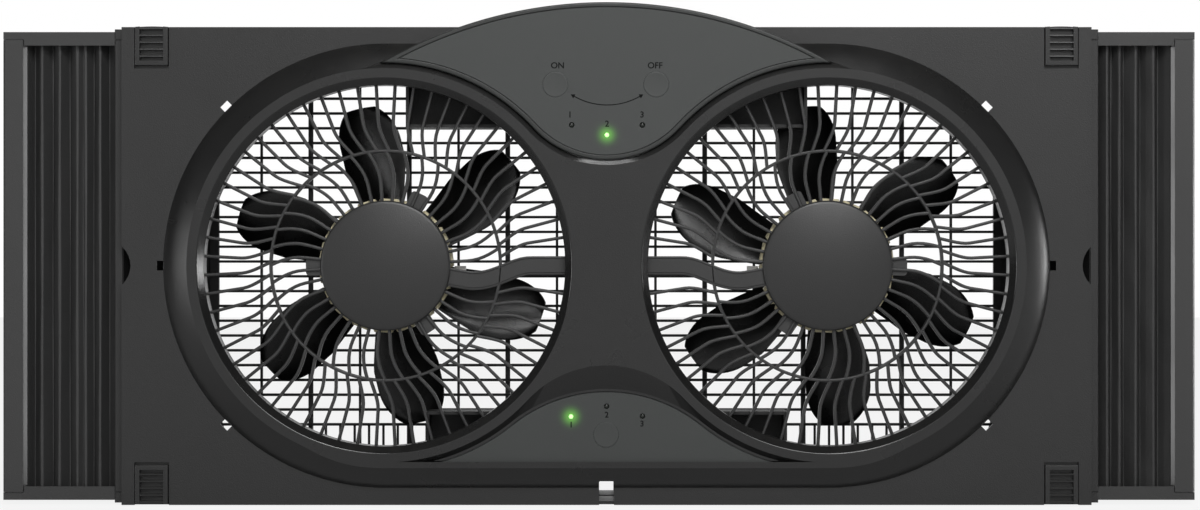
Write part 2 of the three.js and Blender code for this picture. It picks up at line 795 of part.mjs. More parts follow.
function hubCap(sign) {
  const backY0 = grilleY - seatGap;
  const rimY = backY0 - hubCapEdge;
  const dome = spread(0, 0.96, 3).map((share) => [
    hubRadius * share,
    rimY - hubCapDome * (1 - share ** 2),
  ]);
  const edge = [[hubRadius, rimY + hubCapEdge / 3], [hubRadius, backY0], [0, backY0]];
  return turned([...dome, ...edge], sign * fanX, fanHeight, 28);
}

function motor(sign) {
  const bore = shaftRadius + shaftGap;
  return turned([
    [bore, motorY],
    [motorRadius, motorY],
    [motorRadius, motorBackY - motorEdge],
    [motorRadius - motorEdge, motorBackY],
    [bore, motorBackY],
  ], sign * fanX, fanHeight, 18);
}

// The moulded cage round the motor's coils, with a slot between each pair of coils.
function winding(sign) {
  const inner = motorRadius + seatGap;
  const slotRadius = windingRadius - windingSlotDepth;
  const outline = [];
  for (let i = 0; i < windingTeeth; i += 1) {
    const tooth = [[0, windingRadius], [0.74, windingRadius], [0.87, slotRadius]];
    for (const [share, radius] of tooth) {
      const angle = (2 * Math.PI * (i + share)) / windingTeeth;
      const x = sign * fanX + radius * Math.cos(angle);
      outline.push(new THREE.Vector2(x, fanHeight + radius * Math.sin(angle)));
    }
  }
  const y0 = motorY + seatGap;
  const y1 = y0 + windingLength;
  return cut(slab(outline, y0, y1), disc(sign * fanX, fanHeight, inner, y0 - past, y1 + past, 18));
}

function motorShaft(sign) {
  return disc(sign * fanX, fanHeight, shaftRadius, motorY + shaftSetback, nutY + nutLength + shaftTail, 10);
}

// Blade width at a share of its length: it widens to the middle and then stays nearly the same.
function bladeChord(share) {
  const [from, to, part] = share < 0.5
    ? [bladeRootChord, bladeMiddleChord, 2 * share]
    : [bladeMiddleChord, bladeTipChord, 2 * share - 1];
  return THREE.MathUtils.lerp(from, to, part);
}

// One blade: a thin twisted sheet between the hub and a rounded tip.
function blade(sign, degrees) {
  const along = 5;
  const across = 3;
  const middleY = (impellerY + impellerBackY) / 2;
  const rootRadius = impellerHubRadius - impellerWall / 2;
  const point = (i, j, side) => {
    const share = i / along;
    const radius = THREE.MathUtils.lerp(rootRadius, impellerRadius, share);
    const rounding = Math.sqrt(1 - Math.max((share - bladeTipStart) / bladeTipRound, 0) ** 2);
    const chord = bladeChord(share) * rounding;
    const twist = THREE.MathUtils.lerp(bladeRootTwist, bladeTipTwist, share) * rounding;
    const place = j / across - 0.5;
    const lead = degrees + bladeSweep * share * share;
    const turn = THREE.MathUtils.degToRad(lead) + (place * chord) / radius;
    const flat = fanPoint(sign, radius, THREE.MathUtils.radToDeg(turn));
    const camber = bladeCamber * (1 - 4 * place * place);
    return [flat.x, middleY + place * twist - camber + (side * bladeThickness) / 2, flat.y];
  };
  const positions = [];
  const index = [];
  const row = across + 1;
  const size = (along + 1) * row;
  for (const side of [-1, 1]) {
    for (let i = 0; i <= along; i += 1) {
      for (let j = 0; j <= across; j += 1) positions.push(...point(i, j, side));
    }
  }
  const quad = (a, b, c, d) => index.push(a, b, c, a, c, d);
  for (let i = 0; i < along; i += 1) {
    for (let j = 0; j < across; j += 1) {
      const a = i * row + j;
      quad(a, a + row, a + row + 1, a + 1);
      quad(size + a, size + a + 1, size + a + row + 1, size + a + row);
    }
    const near = i * row;
    const far = near + across;
    quad(near, size + near, size + near + row, near + row);
    quad(far, far + row, size + far + row, size + far);
  }
  for (let j = 0; j < across; j += 1) {
    const tip = along * row + j;
    quad(j, j + 1, size + j + 1, size + j);
    quad(tip, size + tip, size + tip + 1, tip + 1);
  }
  if (sign > 0) index.reverse();
  const geometry = new THREE.BufferGeometry();
  geometry.setAttribute('position', new THREE.Float32BufferAttribute(positions, 3));
  geometry.setIndex(index);
  return solidOf(geometry);
}

function impeller(sign, firstBlade) {
  const wall = impellerWall;
  const bore = shaftRadius + seatGap;
  const edge = impellerEdge;
  const y1 = impellerBackY;
  const sleeve = bore + 2 * wall;
  const hub = turned([
    [impellerHubRadius - wall, impellerY],
    [impellerHubRadius, impellerY],
    [impellerHubRadius, y1 - edge],
    [impellerHubRadius - edge, y1],
    [bore, y1],
    [bore, impellerY + edge],
    [sleeve, impellerY + edge],
    [sleeve, y1 - wall],
    [impellerHubRadius - edge - wall / 2, y1 - wall],
    [impellerHubRadius - wall, y1 - edge],
  ], sign * fanX, fanHeight, 18);
  const blades = spread(0, bladeCount - 1, bladeCount - 1).map((i) => (
    blade(sign, firstBlade + (i * 360) / bladeCount)
  ));
  return join(hub, ...blades);
}

function impellerNut(sign) {
  const x = sign * fanX;
  const bore = shaftRadius + seatGap;
  return cut(
    disc(x, fanHeight, nutRadius, nutY, nutY + nutLength, nutFacets),
    disc(x, fanHeight, bore, nutY - past, nutY + nutLength + past, 12),
  );
}

// The white plug on the motor's lead, behind the arm.
function connector(sign) {
  const x0 = fanX - windingRadius - 2 * seatGap;
  const y0 = grilleBackY + armExtraDepth + seatGap;
  const z1 = fanHeight - seatGap;
  return mirroredBlock(sign, x0 - connectorWidth, x0, y0, y0 + connectorLength, z1 - connectorHeight, z1);
}

// ---- Rear shell and guard
function guardOpening(grow) {
  return roundedBox(
    -guardHalfWidth - grow, guardHalfWidth + grow, guardBottom - grow, guardTop + grow,
    guardLowerCorner, guardUpperCorner,
  );
}

function rearShell() {
  const y0 = seamY + seatGap;
  const corner = shellCornerRadius;
  const body = (width, height, inset, y) => ({
    outline: roundedBox(-width + inset, width - inset, inset, height - inset, corner, corner),
    y,
  });
  const rearHalfWidth = halfWidth - rearTaper;
  const rearHeight = housingHeight - rearTaper;
  const openSlope = (rearTaper * past) / (backY - rearWallThickness - y0);
  const shell = cut(
    loft([body(halfWidth, housingHeight, 0, y0), body(rearHalfWidth, rearHeight, 0, backY)]),
    loft([
      body(halfWidth + openSlope, housingHeight + openSlope, sideWallThickness, y0 - past),
      body(rearHalfWidth, rearHeight, sideWallThickness, backY - rearWallThickness),
    ]),
  );
  const [cordX, cordZ] = cordInletPlace;
  const parts = [shell];
  const tools = [
    slab(guardOpening(0), backY - rearWallThickness - past, backY + past),
    notchTool(backY - rearWallThickness - past, backY + past, skirtThickness),
    disc(cordX, cordZ, cordInletRadius + seatGap, backY - rearWallThickness - past, backY + past, 12),
  ];
  const posts = [];
  const postCount = Math.floor((guardHalfWidth - guardLastPost) / guardPostPitch);
  for (const { sign } of sides) {
    for (let i = 1; i <= postCount; i += 1) {
      const width = i % 2 ? guardThinPostWidth : guardPostWidth;
      const inner = i * guardPostPitch - width / 2;
      posts.push(mirroredBlock(
        sign, inner, inner + width, backY - guardPostDepth, backY, guardBottom - past, guardTop + past,
      ));
    }
    for (const [x, z] of screwPlaces) {
      parts.push(disc(sign * x, z, bossRadius, y0, backY - past, 10));
      tools.push(disc(sign * x, z, screwRadius + seatGap, y0 - past, backY + past, 6));
      const headRoom = screwHeadHeight + 2 * seatGap;
      tools.push(disc(sign * x, z, screwHeadRadius + seatGap, backY - headRoom, backY + past, 8));
    }
  }
  return join(cut(join(...parts), ...tools), ...posts);
}

function rearGuard() {
  const y1 = backY - rearWallThickness - seatGap;
  const y0 = y1 - guardDepth;
  const frame = cut(
    slab(guardOpening(guardLap), y0, y1),
    slab(guardOpening(guardLap - guardFrameWidth), y0 - past, y1 + past),
  );
  const reach = guardHalfWidth;
  const bars = [];
  const lowest = guardBottom + guardLowestBar;
  for (let z = lowest; z <= guardTop - guardHighestBar; z += guardBarPitch) {
    bars.push(block(-reach, reach, y0, y1, z - guardBarThickness / 2, z + guardBarThickness / 2));
  }
  return join(frame, ...bars);
}

function screw(sign, [x, z]) {
  const tailY = seamY - screwReach;
  const headBackY = backY - seatGap;
  const headY = headBackY - screwHeadHeight;
  return turned([
    [0, tailY],
    [screwRadius, tailY],
    [screwRadius, headY],
    [screwHeadRadius, headY],
    [screwHeadRadius, headBackY],
    [0, headBackY],
  ], sign * x, z, 6);
}

function cordInlet() {
  const y1 = backY - seatGap;
  const flangeY = backY - rearWallThickness - seatGap;
  const flangeRadius = cordInletRadius + cordInletFlange;
  return turned([
    [cordHoleRadius, flangeY - cordInletFlange],
    [flangeRadius, flangeY - cordInletFlange],
    [flangeRadius, flangeY],
    [cordInletRadius, flangeY],
    [cordInletRadius, y1],
    [cordHoleRadius, y1],
  ], cordInletPlace[0], cordInletPlace[1], 8);
}

// ---- Side panels
// An outline in X and Y, from z0 up to z1.
function upright(outline, z0, z1) {
  const settings = { depth: z1 - z0, bevelEnabled: false };
  const geometry = new THREE.ExtrudeGeometry(new THREE.Shape(outline), settings);
  geometry.translate(0, 0, z0);
  return solidOf(geometry);
}

// Levels along X of one side panel, measured out from the middle.
function sideLevels(reach) {
  const channelInner = halfWidth + seatGap;
  const channelOuter = channelInner + channelWidth;
  const barOuter = halfWidth + reach;
  const barInner = barOuter - endBarWidth;
  return { channelInner, channelOuter, barInner, barOuter, travel: barInner - channelOuter - foldedWidth };
}

function endBar(sign, reach) {
  const { barInner, barOuter } = sideLevels(reach);
  const y0 = railY - endBarProud;
  const y1 = railBackY + endBarProud;
  const edge = endBarEdge;
  const outline = [
    [barInner, y0], [barOuter - edge, y0], [barOuter, y0 + edge],
    [barOuter, y1 - edge], [barOuter - edge, y1], [barInner, y1],
  ].map(([x, y]) => new THREE.Vector2(sign * x, y));
  const inset = railTongue + seatGap;
  return upright(outline, railBottom + inset, railTop - inset);
}

// A channel that holds the pleats' edge, with a tongue over the end bar.
function rail(sign, reach, upper) {
  const { barInner, barOuter } = sideLevels(reach);
  const inner = halfWidth - railOverlap;
  const z = (depth) => (upper ? railTop - depth : railBottom + depth);
  const span = (x0, x1, y0, y1, d0, d1) => (
    mirroredBlock(sign, x0, x1, y0, y1, Math.min(z(d0), z(d1)), Math.max(z(d0), z(d1)))
  );
  return join(
    cut(
      span(inner, barInner - seatGap, railY, railBackY, 0, railHeight),
      span(inner - past, barInner, railY + railWall, railBackY - railWall, railWall, railHeight + past),
    ),
    span(barInner - tongueRoot, barOuter, railY, railBackY, 0, railTongue),
  );
}

function curtain(sign, reach) {
  const { channelOuter, barInner } = sideLevels(reach);
  const x0 = channelOuter + seatGap;
  const x1 = barInner - curtainEndGap;
  const middle = (railY + railBackY) / 2;
  const pitch = (x1 - x0) / pleatCount;
  const front = middle - pleatDepth / 2;
  const back = middle + pleatDepth / 2;
  const fold = pleatThickness;
  const line = [];
  for (let i = 0; i < pleatCount; i += 1) {
    line.push([x0 + i * pitch, back], [x0 + (i + 0.5) * pitch - fold / 2, front]);
    line.push([x0 + (i + 0.5) * pitch + fold / 2, front]);
    if (i + 1 < pleatCount) line.push([x0 + (i + 1) * pitch - fold / 2, back]);
  }
  line.push([x1, back]);
  const points = [
    ...line.map(([x, y]) => new THREE.Vector2(sign * x, y - pleatThickness / 2)),
    ...line.reverse().map(([x, y]) => new THREE.Vector2(sign * x, y + pleatThickness / 2)),
  ];
  const inset = railWall + slideGap;
  return upright(points, railBottom + inset, railTop - inset);
}

function sideChannel(sign, reach) {
  const { channelInner, channelOuter } = sideLevels(reach);
  const y0 = railY - channelProud;
  const y1 = railBackY + channelProud;
  return cut(
    mirroredBlock(sign, channelInner, channelOuter, y0, y1, channelEdge, housingHeight - channelEdge),
    railWindow(sign, channelInner - past, channelOuter + past),
  );
}

// ---- Corner locks
function cornerLock(sign, upper) {
  const outer = halfWidth - lockInset;
  const inner = outer - lockWidth;
  const tip = upper ? housingHeight + lockProud : housingHeight - lockShort;
  const root = tip - lockHeight;
  const part = (x0, x1, y0, y1, z0, z1) => (
    upper
      ? mirroredBlock(sign, x0, x1, y0, y1, z0, z1)
      : mirroredBlock(sign, x0, x1, y0, y1, housingHeight - z1, housingHeight - z0)
  );
  const frontY = plateY - lockStand;
  const flangeY = plateBackY + seatGap;
  const flangeBackY = flangeY + lockFlange;
  const recessLength = lockHeight - lockBorder;
  const pitch = recessLength / lockRibCount;
  const ribs = spread(0, lockRibCount - 1, lockRibCount - 1).map((i) => {
    const z = root + lockBorder + (i + 0.5) * pitch;
    return part(
      inner + lockBorder - lockRibRoot, outer - lockBorder + lockRibRoot,
      frontY + lockRibSink, frontY + lockRecess + lockRibRoot,
      z - pitch / 5, z + pitch / 5,
    );
  });
  const pad = cut(
    part(inner, outer, frontY, flangeBackY, root, tip),
    part(
      inner + lockBorder, outer - lockBorder, frontY - past, frontY + lockRecess,
      root + lockBorder, tip + past,
    ),
  );
  const flangeTip = housingHeight - skirtThickness - slideGap;
  const middle = (inner + outer) / 2;
  const pawlZ = railTop - railHeight / 2;
  return join(
    pad,
    ...ribs,
    part(inner - lockFlangeLap, outer + lockFlangeLap, flangeY, flangeBackY, root - lockFlangeLap, flangeTip),
    part(
      middle - lockPawlWidth / 2, middle + lockPawlWidth / 2, flangeBackY - lockRibRoot, railY - lockPawlGap,
      pawlZ - lockPawlHeight / 2, pawlZ + lockPawlHeight / 2,
    ),
  );
}

// ---- The assembly
function add(parent, name, solid, material) {
  const mesh = new THREE.Mesh(geometryOf(solid), material());
  mesh.name = name;
  parent.add(mesh);
}

function housing() {
  const group = new THREE.Group();
  add(group, 'front_shell', frontShell(), charcoal);
  add(group, 'front_bezel', frontBezel(), charcoal);
  add(group, 'rear_shell', rearShell(), charcoal);
  add(group, 'rear_guard', rearGuard(), innerBlack);
  add(group, 'cord_inlet', cordInlet(), rubberBlack);
  for (const { name, sign } of sides) {
    screwPlaces.forEach((place, i) => add(group, `${name}_case_screw_${i + 1}`, screw(sign, place), zinc));
  }
  return group;
}

function controls() {
  const group = new THREE.Group();
  add(group, 'top_control_panel', topControlPanel(), panelGrey);
  add(group, 'top_panel_cover', topPanelCover(), innerBlack);
  add(group, 'top_overlay', topOverlay(), overlayGrey);
  add(group, 'function_panel', functionPanel(), panelGrey);
  add(group, 'function_overlay', functionOverlay(), overlayGrey);
  add(group, 'speed_button', button(speedButtonPlace, overlayY, panelFaceBackY), overlayGrey);
  add(group, 'off_button', button(offButtonPlace, overlayY, panelFaceBackY), overlayGrey);
  const functionButton = button(functionButtonPlace, functionOverlayY, functionFaceBackY);
  add(group, 'function_button', functionButton, overlayGrey);
  speedLampPlaces.forEach((place, i) => {
    const material = i === 1 ? lampGreen : lampDark;
    add(group, `speed_lamp_${i + 1}`, lamp(place, overlayY, panelFaceBackY), material);
  });
  functionLampPlaces.forEach((place, i) => {
    const material = i === 0 ? lampGreen : lampDark;
    add(group, `function_lamp_${i + 1}`, lamp(place, functionOverlayY, functionFaceBackY), material);
  });
  add(group, 'control_board', controlBoard(), boardGreen);
  add(group, 'function_board', functionBoard(), boardGreen);
  const top = housingHeight - skirtThickness - seatGap;
  add(group, 'top_wiring_box', wiringBox(topBoxHalfWidth, fanHeight + topBoxRise, top), innerBlack);
  const bottomBox = wiringBox(bottomBoxHalfWidth, notchHeight + slideGap, fanHeight - bottomBoxDrop);
  add(group, 'bottom_wiring_box', bottomBox, innerBlack);
  return group;
}

function fan({ name, sign, firstBlade }) {
  const group = new THREE.Group();
  add(group, `${name}_front_grille`, frontGrille(sign), grilleGrey);
  add(group, `${name}_hub_cap`, hubCap(sign), grilleGrey);
  add(group, `${name}_motor`, motor(sign), zinc);
  add(group, `${name}_winding`, winding(sign), cream);
  add(group, `${name}_connector`, connector(sign), white);
  add(group, `${name}_motor_shaft`, motorShaft(sign), steel);
  add(group, `${name}_impeller`, impeller(sign, firstBlade), bladeBlack);
  add(group, `${name}_impeller_nut`, impellerNut(sign), bladeBlack);
  return group;
}

function sidePanel({ name, sign, reach }) {
  const group = new THREE.Group();
  add(group, `${name}_end_bar`, endBar(sign, reach), charcoal);
  add(group, `${name}_upper_rail`, rail(sign, reach, true), charcoal);
  add(group, `${name}_lower_rail`, rail(sign, reach, false), charcoal);
  add(group, `${name}_curtain`, curtain(sign, reach), curtainGrey);
  add(group, `${name}_side_channel`, sideChannel(sign, reach), charcoal);
  add(group, `${name}_upper_lock`, cornerLock(sign, true), charcoal);
  add(group, `${name}_lower_lock`, cornerLock(sign, false), charcoal);
  return group;
}

const windowFan = new THREE.Group();
windowFan.add(housing(), controls(), ...sides.map(fan), ...sides.map(sidePanel));
// The side panels differ in reach, so the housing sits off the middle by half of that.
windowFan.position.x = (leftReach - rightReach) / 2;

export default windowFan;
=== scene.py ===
import bpy, bmesh, math
from mathutils import Vector, Matrix


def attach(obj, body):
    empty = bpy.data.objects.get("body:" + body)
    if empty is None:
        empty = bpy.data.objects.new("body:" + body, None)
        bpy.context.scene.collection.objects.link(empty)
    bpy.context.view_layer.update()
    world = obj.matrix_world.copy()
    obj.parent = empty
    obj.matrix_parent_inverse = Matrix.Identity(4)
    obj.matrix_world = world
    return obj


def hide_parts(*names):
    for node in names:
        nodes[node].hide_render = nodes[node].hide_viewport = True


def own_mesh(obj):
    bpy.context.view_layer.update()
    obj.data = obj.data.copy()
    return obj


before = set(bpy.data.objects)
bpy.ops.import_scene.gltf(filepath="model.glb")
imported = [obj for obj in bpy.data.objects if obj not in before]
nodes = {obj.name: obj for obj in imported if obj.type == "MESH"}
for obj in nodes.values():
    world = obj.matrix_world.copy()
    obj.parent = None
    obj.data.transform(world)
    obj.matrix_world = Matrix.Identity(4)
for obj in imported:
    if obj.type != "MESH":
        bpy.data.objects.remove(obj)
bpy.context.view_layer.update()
print("frame loaded:", len(nodes), "nodes")

# Sizes below are in millimetres, measured from the middle of the housing, and turned into metres
# when a mesh is made. The housing sits 4.8 mm to the right of the frame's origin.
housing = {
    "shift": 4.8, "fanX": 140.5, "fanZ": 152.0, "halfWidth": 308.0, "height": 303.5,
    "panelY": -55.0, "bezelY": -54.0, "plateY": -42.0, "grilleY": -40.0, "seat": 0.3,
}
fanX, fanZ = housing["fanX"], housing["fanZ"]
sides = [("left", -1), ("right", 1)]


def linear(level):
    part = level / 255
    return part / 12.92 if part <= 0.04045 else ((part + 0.055) / 1.055) ** 2.4


def shade(r, g=None, b=None):  # 0 to 255 as seen on screen
    g = r if g is None else g
    b = r if b is None else b
    return (linear(r), linear(g), linear(b), 1)


# ---------- forms: a form is (points, faces) in millimetres
def arc(cx, cz, radius, start, stop, steps):
    out = []
    for i in range(steps + 1):
        turn = start + (stop - start) * i / steps
        out.append((cx + radius * math.cos(turn), cz + radius * math.sin(turn)))
    return out


def easedStep(share):  # runs from 0 to 1 with soft ends
    share = min(max(share, 0), 1)
    return share * share * (3 - 2 * share)


def rounded(corners, closed=True, steps=5):  # corners are (x, y, radius)
    out, count = [], len(corners)
    for i, (x, y, radius) in enumerate(corners):
        if radius <= 0 or (not closed and i in (0, count - 1)):
            out.append((x, y))
            continue
        here = Vector((x, y))
        before = Vector(corners[i - 1][:2]) - here
        after = Vector(corners[(i + 1) % count][:2]) - here
        angle = before.angle(after)
        reach = min(radius / math.tan(angle / 2), before.length * 0.49, after.length * 0.49)
        size = reach * math.tan(angle / 2)
        centre = here + (before.normalized() + after.normalized()).normalized() * (size / math.sin(angle / 2))
        first = here + before.normalized() * reach - centre
        last = here + after.normalized() * reach - centre
        sweep = math.atan2(first.x * last.y - first.y * last.x, first.dot(last))
        base = math.atan2(first.y, first.x)
        for j in range(steps + 1):
            turn = base + sweep * j / steps
            out.append((centre.x + size * math.cos(turn), centre.y + size * math.sin(turn)))
    return out


def loft(sections):
    count = len(sections[0][0])
    points = [(x, y, z) for outline, y in sections for x, z in outline]
    faces = []
    for s in range(len(sections) - 1):
        for i in range(count):
            a, b = s * count + i, s * count + (i + 1) % count
            faces.append((a, b, b + count, a + count))
    faces.append(tuple(range(count)))
    faces.append(tuple((len(sections) - 1) * count + i for i in range(count)))
    return points, faces


def slab(outline, y0, y1):
    return loft([(outline, y0), (outline, y1)])


def turned(profile, x, z, steps):
    points, faces, count = [], [], len(profile)
    for i in range(steps):
        turn = 2 * math.pi * i / steps
        points += [(x + r * math.cos(turn), y, z + r * math.sin(turn)) for r, y in profile]
    for i in range(steps):
        j = (i + 1) % steps
        for k in range(count):
            m = (k + 1) % count
            faces.append((i * count + k, i * count + m, j * count + m, j * count + k))
    return points, faces


def disc(x, z, radius, y0, y1, steps=48):
    return slab(arc(x, z, radius, 0, 2 * math.pi, steps)[:-1], y0, y1)


def block(x0, x1, y0, y1, z0, z1):
    return slab([(x0, z0), (x1, z0), (x1, z1), (x0, z1)], y0, y1)


def together(*forms):
    points, faces = [], []
    for more, around in forms:
        base = len(points)
        points += more
        faces += [tuple(base + i for i in face) for face in around]
    return points, faces


def bar(path, section):  # a section (across, y) swept along a path in X and Z, with flat ends
    points, faces, count = [], [], len(section)
    for i, here in enumerate(path):
        before, after = path[max(i - 1, 0)], path[min(i + 1, len(path) - 1)]
        along = Vector((after[0] - before[0], after[1] - before[1])).normalized()
        for across, y in section:
            points.append((here[0] - along.y * across, y, here[1] + along.x * across))
    for i in range(len(path) - 1):
        for k in range(count):
            a, b = i * count + k, i * count + (k + 1) % count
            faces.append((a, b, b + count, a + count))
    faces.append(tuple(range(count)))
    faces.append(tuple((len(path) - 1) * count + k for k in range(count)))
    return points, faces


def meshOf(name, form):
    if not isinstance(form, tuple):  # it is a mesh already
        return form
    points, faces = form
    mesh = bpy.data.meshes.new(name)
    shift = housing["shift"]
    mesh.from_pydata([((x + shift) * 0.001, y * 0.001, z * 0.001) for x, y, z in points], [], faces)
    work = bmesh.new()
    work.from_mesh(mesh)
    bmesh.ops.remove_doubles(work, verts=work.verts, dist=2e-7)
    bmesh.ops.dissolve_degenerate(work, edges=work.edges, dist=1e-7)
    bmesh.ops.recalc_face_normals(work, faces=work.faces)
    work.to_mesh(mesh)
    work.free()
    return mesh


def looseObject(name, mesh):
    made = bpy.data.objects.new(name, mesh)
    bpy.context.scene.collection.objects.link(made)
    return made


def carved(name, base, adds=(), cuts=()):
    body = looseObject(name + "_blank", meshOf(name, base))
    tools = []
    for form, job in [(f, "UNION") for f in adds] + [(f, "DIFFERENCE") for f in cuts]:
        tool = looseObject(name + "_tool", meshOf(name + "_tool", form))
        step = body.modifiers.new("step", "BOOLEAN")
        step.operation, step.object, step.solver = job, tool, "MANIFOLD"
        tools.append(tool)
    bpy.context.view_layer.update()
    graph = bpy.context.evaluated_depsgraph_get()
    mesh = bpy.data.meshes.new_from_object(body.evaluated_get(graph))
    mesh.name = name
    for item in tools + [body]:
        bpy.data.objects.remove(item)
    return mesh


def finishPiece(name, form, finishName, body, replaces=(), angle=32, weighted=True):
    mesh = meshOf(name, form)
    piece = looseObject(name, mesh)
    mesh.materials.clear()
    mesh.materials.append(finishes[finishName])
    for face in mesh.polygons:
        face.use_smooth = True
    mesh.set_sharp_from_angle(angle=math.radians(angle))
    if weighted:
        even = piece.modifiers.new("evenShading", "WEIGHTED_NORMAL")
        even.keep_sharp = True
        even.weight = 80
    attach(piece, body)
    if replaces:
        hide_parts(*replaces)
    return piece


# ---------- shader groups that several finishes share
def newGroup(name, inputs, outputs):
    group = bpy.data.node_groups.new(name, "ShaderNodeTree")
    for label, kind, value in inputs:
        socket = group.interface.new_socket(name=label, in_out="INPUT", socket_type=kind)
        socket.default_value = value
    for label, kind in outputs:
        group.interface.new_socket(name=label, in_out="OUTPUT", socket_type=kind)
    return group, group.nodes.new("NodeGroupInput"), group.nodes.new("NodeGroupOutput")


def feed(tree, node, sources):
    for label, source in sources.items():
        tree.links.new(source, node.inputs[label])


def addNode(tree, kind, settings=None, sources=None):
    made = tree.nodes.new(kind)
    for key, value in (settings or {}).items():
        if isinstance(key, str) and hasattr(made, key):
            setattr(made, key, value)
        else:
            made.inputs[key].default_value = value
    feed(tree, made, sources or {})
    return made


def math2(tree, job, first, second):
    made = addNode(tree, "ShaderNodeMath", {"operation": job})
    for i, item in enumerate((first, second)):
        if isinstance(item, (int, float)):
            made.inputs[i].default_value = item
        else:
            tree.links.new(item, made.inputs[i])
    return made.outputs[0]


def plus(tree, first, second):
    return math2(tree, "ADD", first, second)


def less(tree, first, second):
    return math2(tree, "SUBTRACT", first, second)


def times(tree, first, second):
    return math2(tree, "MULTIPLY", first, second)


def ramp(tree, value, low, high, first=0.0, last=1.0):
    made = addNode(tree, "ShaderNodeMapRange", {1: low, 2: high, 3: first, 4: last}, {0: value})
    return made.outputs[0]


def noise(tree, where, scale, detail):
    made = addNode(tree, "ShaderNodeTexNoise", {"Scale": scale, "Detail": detail}, {"Vector": where})
    return made.outputs["Fac"]


def ownPlace(tree):
    return addNode(tree, "ShaderNodeTexCoord").outputs["Object"]


def splitUp(tree, vector):
    return addNode(tree, "ShaderNodeSeparateXYZ", None, {0: vector}).outputs


def buildMouldedSurface():  # fine eroded texture of moulded plastic, with slow drifts in tone
    group, given, result = newGroup(
        "mouldedSurface",
        [("Grain Size", "NodeSocketFloat", 1.0), ("Grain Depth", "NodeSocketFloat", 1.0),
         ("Drift", "NodeSocketFloat", 0.1)],
        [("Tone", "NodeSocketFloat"), ("Gloss Drift", "NodeSocketFloat"), ("Height", "NodeSocketFloat")],
    )
    where = ownPlace(group)
    scale = math2(group, "DIVIDE", 1600.0, given.outputs["Grain Size"])
    pits = addNode(group, "ShaderNodeTexNoise", {"Detail": 3.0, "Roughness": 0.6},
                   {"Vector": where, "Scale": scale})
    cells = addNode(group, "ShaderNodeTexVoronoi", {"feature": "SMOOTH_F1"},
                    {"Vector": where, "Scale": scale})
    mixed = plus(group, pits.outputs["Fac"], cells.outputs["Distance"])
    swing = times(group, less(group, noise(group, where, 14.0, 4.0), 0.5), given.outputs["Drift"])
    speck = times(group, less(group, pits.outputs["Fac"], 0.5), 0.22)
    feed(group, result, {
        "Height": times(group, mixed, given.outputs["Grain Depth"]),
        "Tone": plus(group, plus(group, swing, speck), 1.0),
        "Gloss Drift": less(group, noise(group, where, 31.0, 5.0), 0.5)})
    return group


def buildSettledDust():  # thin dust on what faces up, in soft patches
    group, given, result = newGroup(
        "settledDust", [("Amount", "NodeSocketFloat", 0.1)], [("Mask", "NodeSocketFloat")]
    )
    facing = addNode(group, "ShaderNodeNewGeometry")
    up = ramp(group, splitUp(group, facing.outputs["Normal"])["Z"], 0.25, 1.0)
    spotted = ramp(group, noise(group, ownPlace(group), 90.0, 6.0), 0.35, 0.7, 0.3)
    feed(group, result, {"Mask": times(group, times(group, up, spotted), given.outputs["Amount"])})
    return group


def buildPaintedEdgeHighlight():  # sharp corners get a paler colour: a painted highlight along edges
    group, given, result = newGroup(
        "paintedEdgeHighlight", [("Strength", "NodeSocketFloat", 0.3)], [("Mask", "NodeSocketFloat")]
    )
    form = addNode(group, "ShaderNodeNewGeometry")
    sharp = ramp(group, form.outputs["Pointiness"], 0.52, 0.62)
    feed(group, result, {"Mask": times(group, sharp, given.outputs["Strength"])})
    return group


def buildPleatedVinyl():  # fine crossed ribs pressed into the sheet, with creases
    group, given, result = newGroup(
        "pleatedVinyl", [("Rib Pitch", "NodeSocketFloat", 0.8), ("Crease", "NodeSocketFloat", 0.2)],
        [("Tone", "NodeSocketFloat"), ("Height", "NodeSocketFloat")],
    )
    where = ownPlace(group)
    turns = math2(group, "DIVIDE", 6283.0, given.outputs["Rib Pitch"])
    parts = splitUp(group, where)
    ribs, cross = [math2(group, "SINE", times(group, parts[axis], turns), 0.0) for axis in ("Z", "Y")]
    weave = times(group, plus(group, ribs, cross), 0.25)
    creases = times(group, less(group, noise(group, where, 46.0, 5.0), 0.5), given.outputs["Crease"])
    feed(group, result, {"Height": plus(group, weave, creases), "Tone": plus(group, creases, 1.0)})
    return group


def buildDrawnMetal():  # fine lines left by turning or drawing
    group, given, result = newGroup(
        "drawnMetal", [("Line Scale", "NodeSocketFloat", 900.0)],
        [("Tone", "NodeSocketFloat"), ("Height", "NodeSocketFloat")],
    )
    stretched = addNode(group, "ShaderNodeMapping", {"Scale": (1.0, 0.03, 1.0)}, {"Vector": ownPlace(group)})
    lines = addNode(group, "ShaderNodeTexNoise", {"Detail": 4.0},
                    {"Vector": stretched.outputs[0], "Scale": given.outputs["Line Scale"]}).outputs["Fac"]
    swing = times(group, less(group, lines, 0.5), 0.5)
    feed(group, result, {"Height": lines, "Tone": plus(group, swing, 1.0)})
    return group


def buildLampGlow():  # light that spreads in the face sheet round a lit lamp
    group, given, result = newGroup(
        "lampGlow", [("Lamp X", "NodeSocketFloat", 0.0), ("Lamp Z", "NodeSocketFloat", 0.0),
                     ("Spread", "NodeSocketFloat", 0.003)],
        [("Glow", "NodeSocketFloat")],
    )
    parts = splitUp(group, ownPlace(group))
    dx = less(group, parts["X"], given.outputs["Lamp X"])
    dz = less(group, parts["Z"], given.outputs["Lamp Z"])
    away = plus(group, times(group, dx, dx), times(group, dz, dz))
    width = times(group, given.outputs["Spread"], given.outputs["Spread"])
    fall = times(group, math2(group, "DIVIDE", away, width), -1.0)
    feed(group, result, {"Glow": math2(group, "POWER", 2.718, fall)})
    return group


